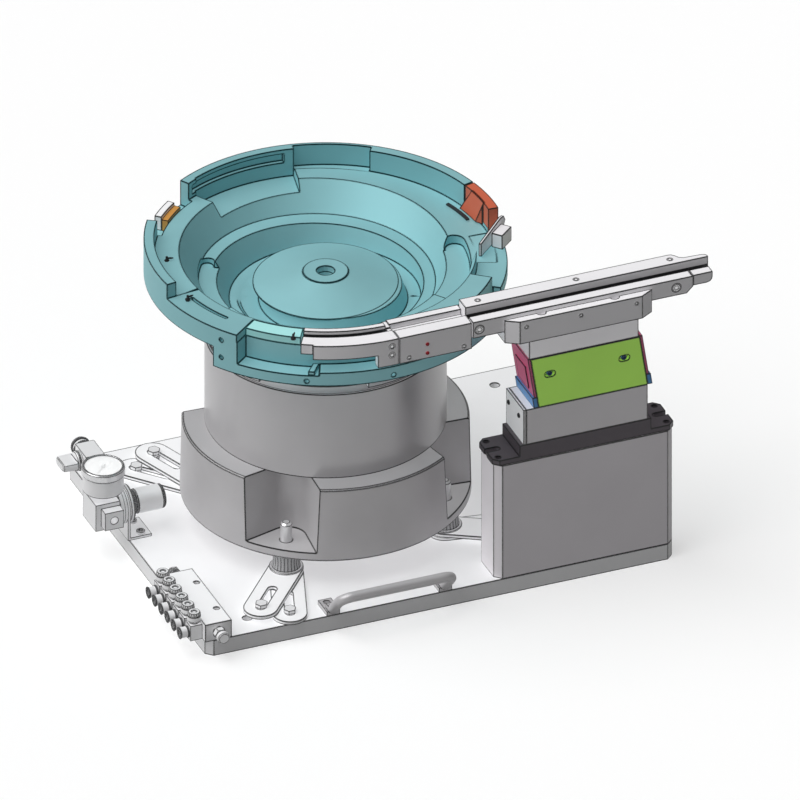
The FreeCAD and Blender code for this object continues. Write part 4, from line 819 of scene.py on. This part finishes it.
def makeValve():
    # The shut-off valve's knob: a rounded grip on a stepped disc. Its port gets two ribbed rings.
    k = valve
    x, z = k["centre"]
    disc = [(0.0, 9.6), (0.3, 10.5), (2.2, 10.5), (2.5, 9.6), (3.4, 9.6), (3.7, 10.3), (5.6, 9.7), (6.4, 8.0)]
    addPieces("valve_knob", [
        roundedBar(k["grip"][1] + 1.0, k["grip"][0], k["gripY"], z, k["gripHalfY"], k["gripHalfZ"], 0.06),
        turnedSurface(disc, (k["discX"], k["gripY"], z), (-1, 0, 0), 72),
    ], "whiteBody", "shutoff_cap", ["shutoff_valve_knob"])
    pin = [(0.0, 3.98), (11.0, 3.98)]
    pinStart = (k["discX"] + 8.0, k["gripY"], z)
    addPieces("valve_pin", [turnedSurface(pin, pinStart, left, 40)], "brightSteel", "shutoff_cap")
    ribbed = ribs(28, 0.05)
    rings = [turnedSurface([(0.2, k["portR"]), (0.4, 10.4, 1), (4.0, 10.4, 1), (4.3, k["portR"])],
                           (x, k["back"] + 1.0, z), (0, 1, 0), 112, ribbed),
             turnedSurface([(0.2, k["portR"]), (0.4, 10.2, 1), (3.4, 10.2, 1), (3.7, k["portR"])],
                           (x, k["back"] + 8.5, z), (0, 1, 0), 112, ribbed)]
    addPieces("valve_port_rings", rings, "darkRing", "base")


feet = {
    "circleR": 124.7, "first": 49.65, "bottom": 26.15, "height": 21.5, "bodyR": 14.6, "flangeR": 17.2,
}


def makeFeet():
    # Rubber buffers: a ribbed drum whose radius dips by a sine wave at the waist, between two steel discs
    k = feet
    rubber, discs = [], []
    for step in range(4):
        angle = radians(k["first"] + 90 * step)
        centre = (k["circleR"] * cos(angle), k["circleR"] * sin(angle), 0)
        z0, z1, r, f = k["bottom"], k["bottom"] + k["height"], k["bodyR"], k["flangeR"]
        rows = [(z0 + 2.0, r * 0.9)]
        for share in np.linspace(0, 1, 13):
            rows.append((z0 + 2.0 + (k["height"] - 4.0) * share, r - 1.3 * sin(pi * share), 1))
        rows.append((z1 - 2.0, r * 0.9))
        rubber.append(turnedSurface(rows, centre, (0, 0, 1), 96, ribs(24, 0.03)))
        for low in (z0, z1 - 2.0):
            discs.append(turnedSurface([(low, f - 0.4), (low + 0.4, f), (low + 1.6, f), (low + 2.0, f - 0.4)],
                                       centre, (0, 0, 1), 72))
    addPieces("rubber_buffers", rubber, "rubberGrey", "base", ["rubber_feet"])
    addPieces("buffer_discs", discs, "brightSteel", "base")


nozzles = {
    "places": ((186.3, 158.5, 302.5), (214.0, 165.0, 303.5), (259.0, 168.0, 303.0)),
    "hexR": 2.3, "hexHeight": 2.0, "tubeR": 1.3, "tubeHeight": 3.4,
}


def makeNozzles():
    # Small air jets beside the track: a six-sided foot, a neck and a tip that points at the track
    k = nozzles
    surfaces = []
    for angle, radius, height in k["places"]:
        a = radians(angle + bowlTurn)
        centre = (radius * cos(a), radius * sin(a), height + plateTop - 1.2)
        rows = [(0, k["hexR"], 1), (k["hexHeight"], k["hexR"], 1), (k["hexHeight"] + 0.3, k["tubeR"]),
                (k["hexHeight"] + k["tubeHeight"], k["tubeR"]), (k["hexHeight"] + k["tubeHeight"] + 0.5, 1.1)]
        surfaces.append(turnedSurface(rows, centre, (0, 0, 1), 48, hexagon))
        inward = np.array((-cos(a), -sin(a), 0.0))
        start = np.array(centre) + np.array((0, 0, k["hexHeight"] + 2.0))
        surfaces.append(turnedSurface([(0, 1.0), (4.4, 1.0), (6.6, 0.5)], start, inward, 24))
    addPieces("air_jets", surfaces, "darkBlock", "bowl")


bpy.context.scene.view_settings.view_transform = "Standard"
makeCamera()
makeLight()
makeFloor()
materials = {name: makeFinish(name, f) for name, f in finishes.items()}
materials["clearGlass"] = makeGlass()
print("stage: camera, light and finishes")
dressNodes(materials)
print("stage: nodes dressed")
makeScrews()
makeFlowControls()
makeGauge()
makeRegulator()
makeBar()
makeStrips()
makeFittings()
makeValve()
makeFeet()
makeNozzles()
makeIsland()
makeRails()
makeInsert()
makeClamps()
makeTrackRails()
print("stage: added pieces")
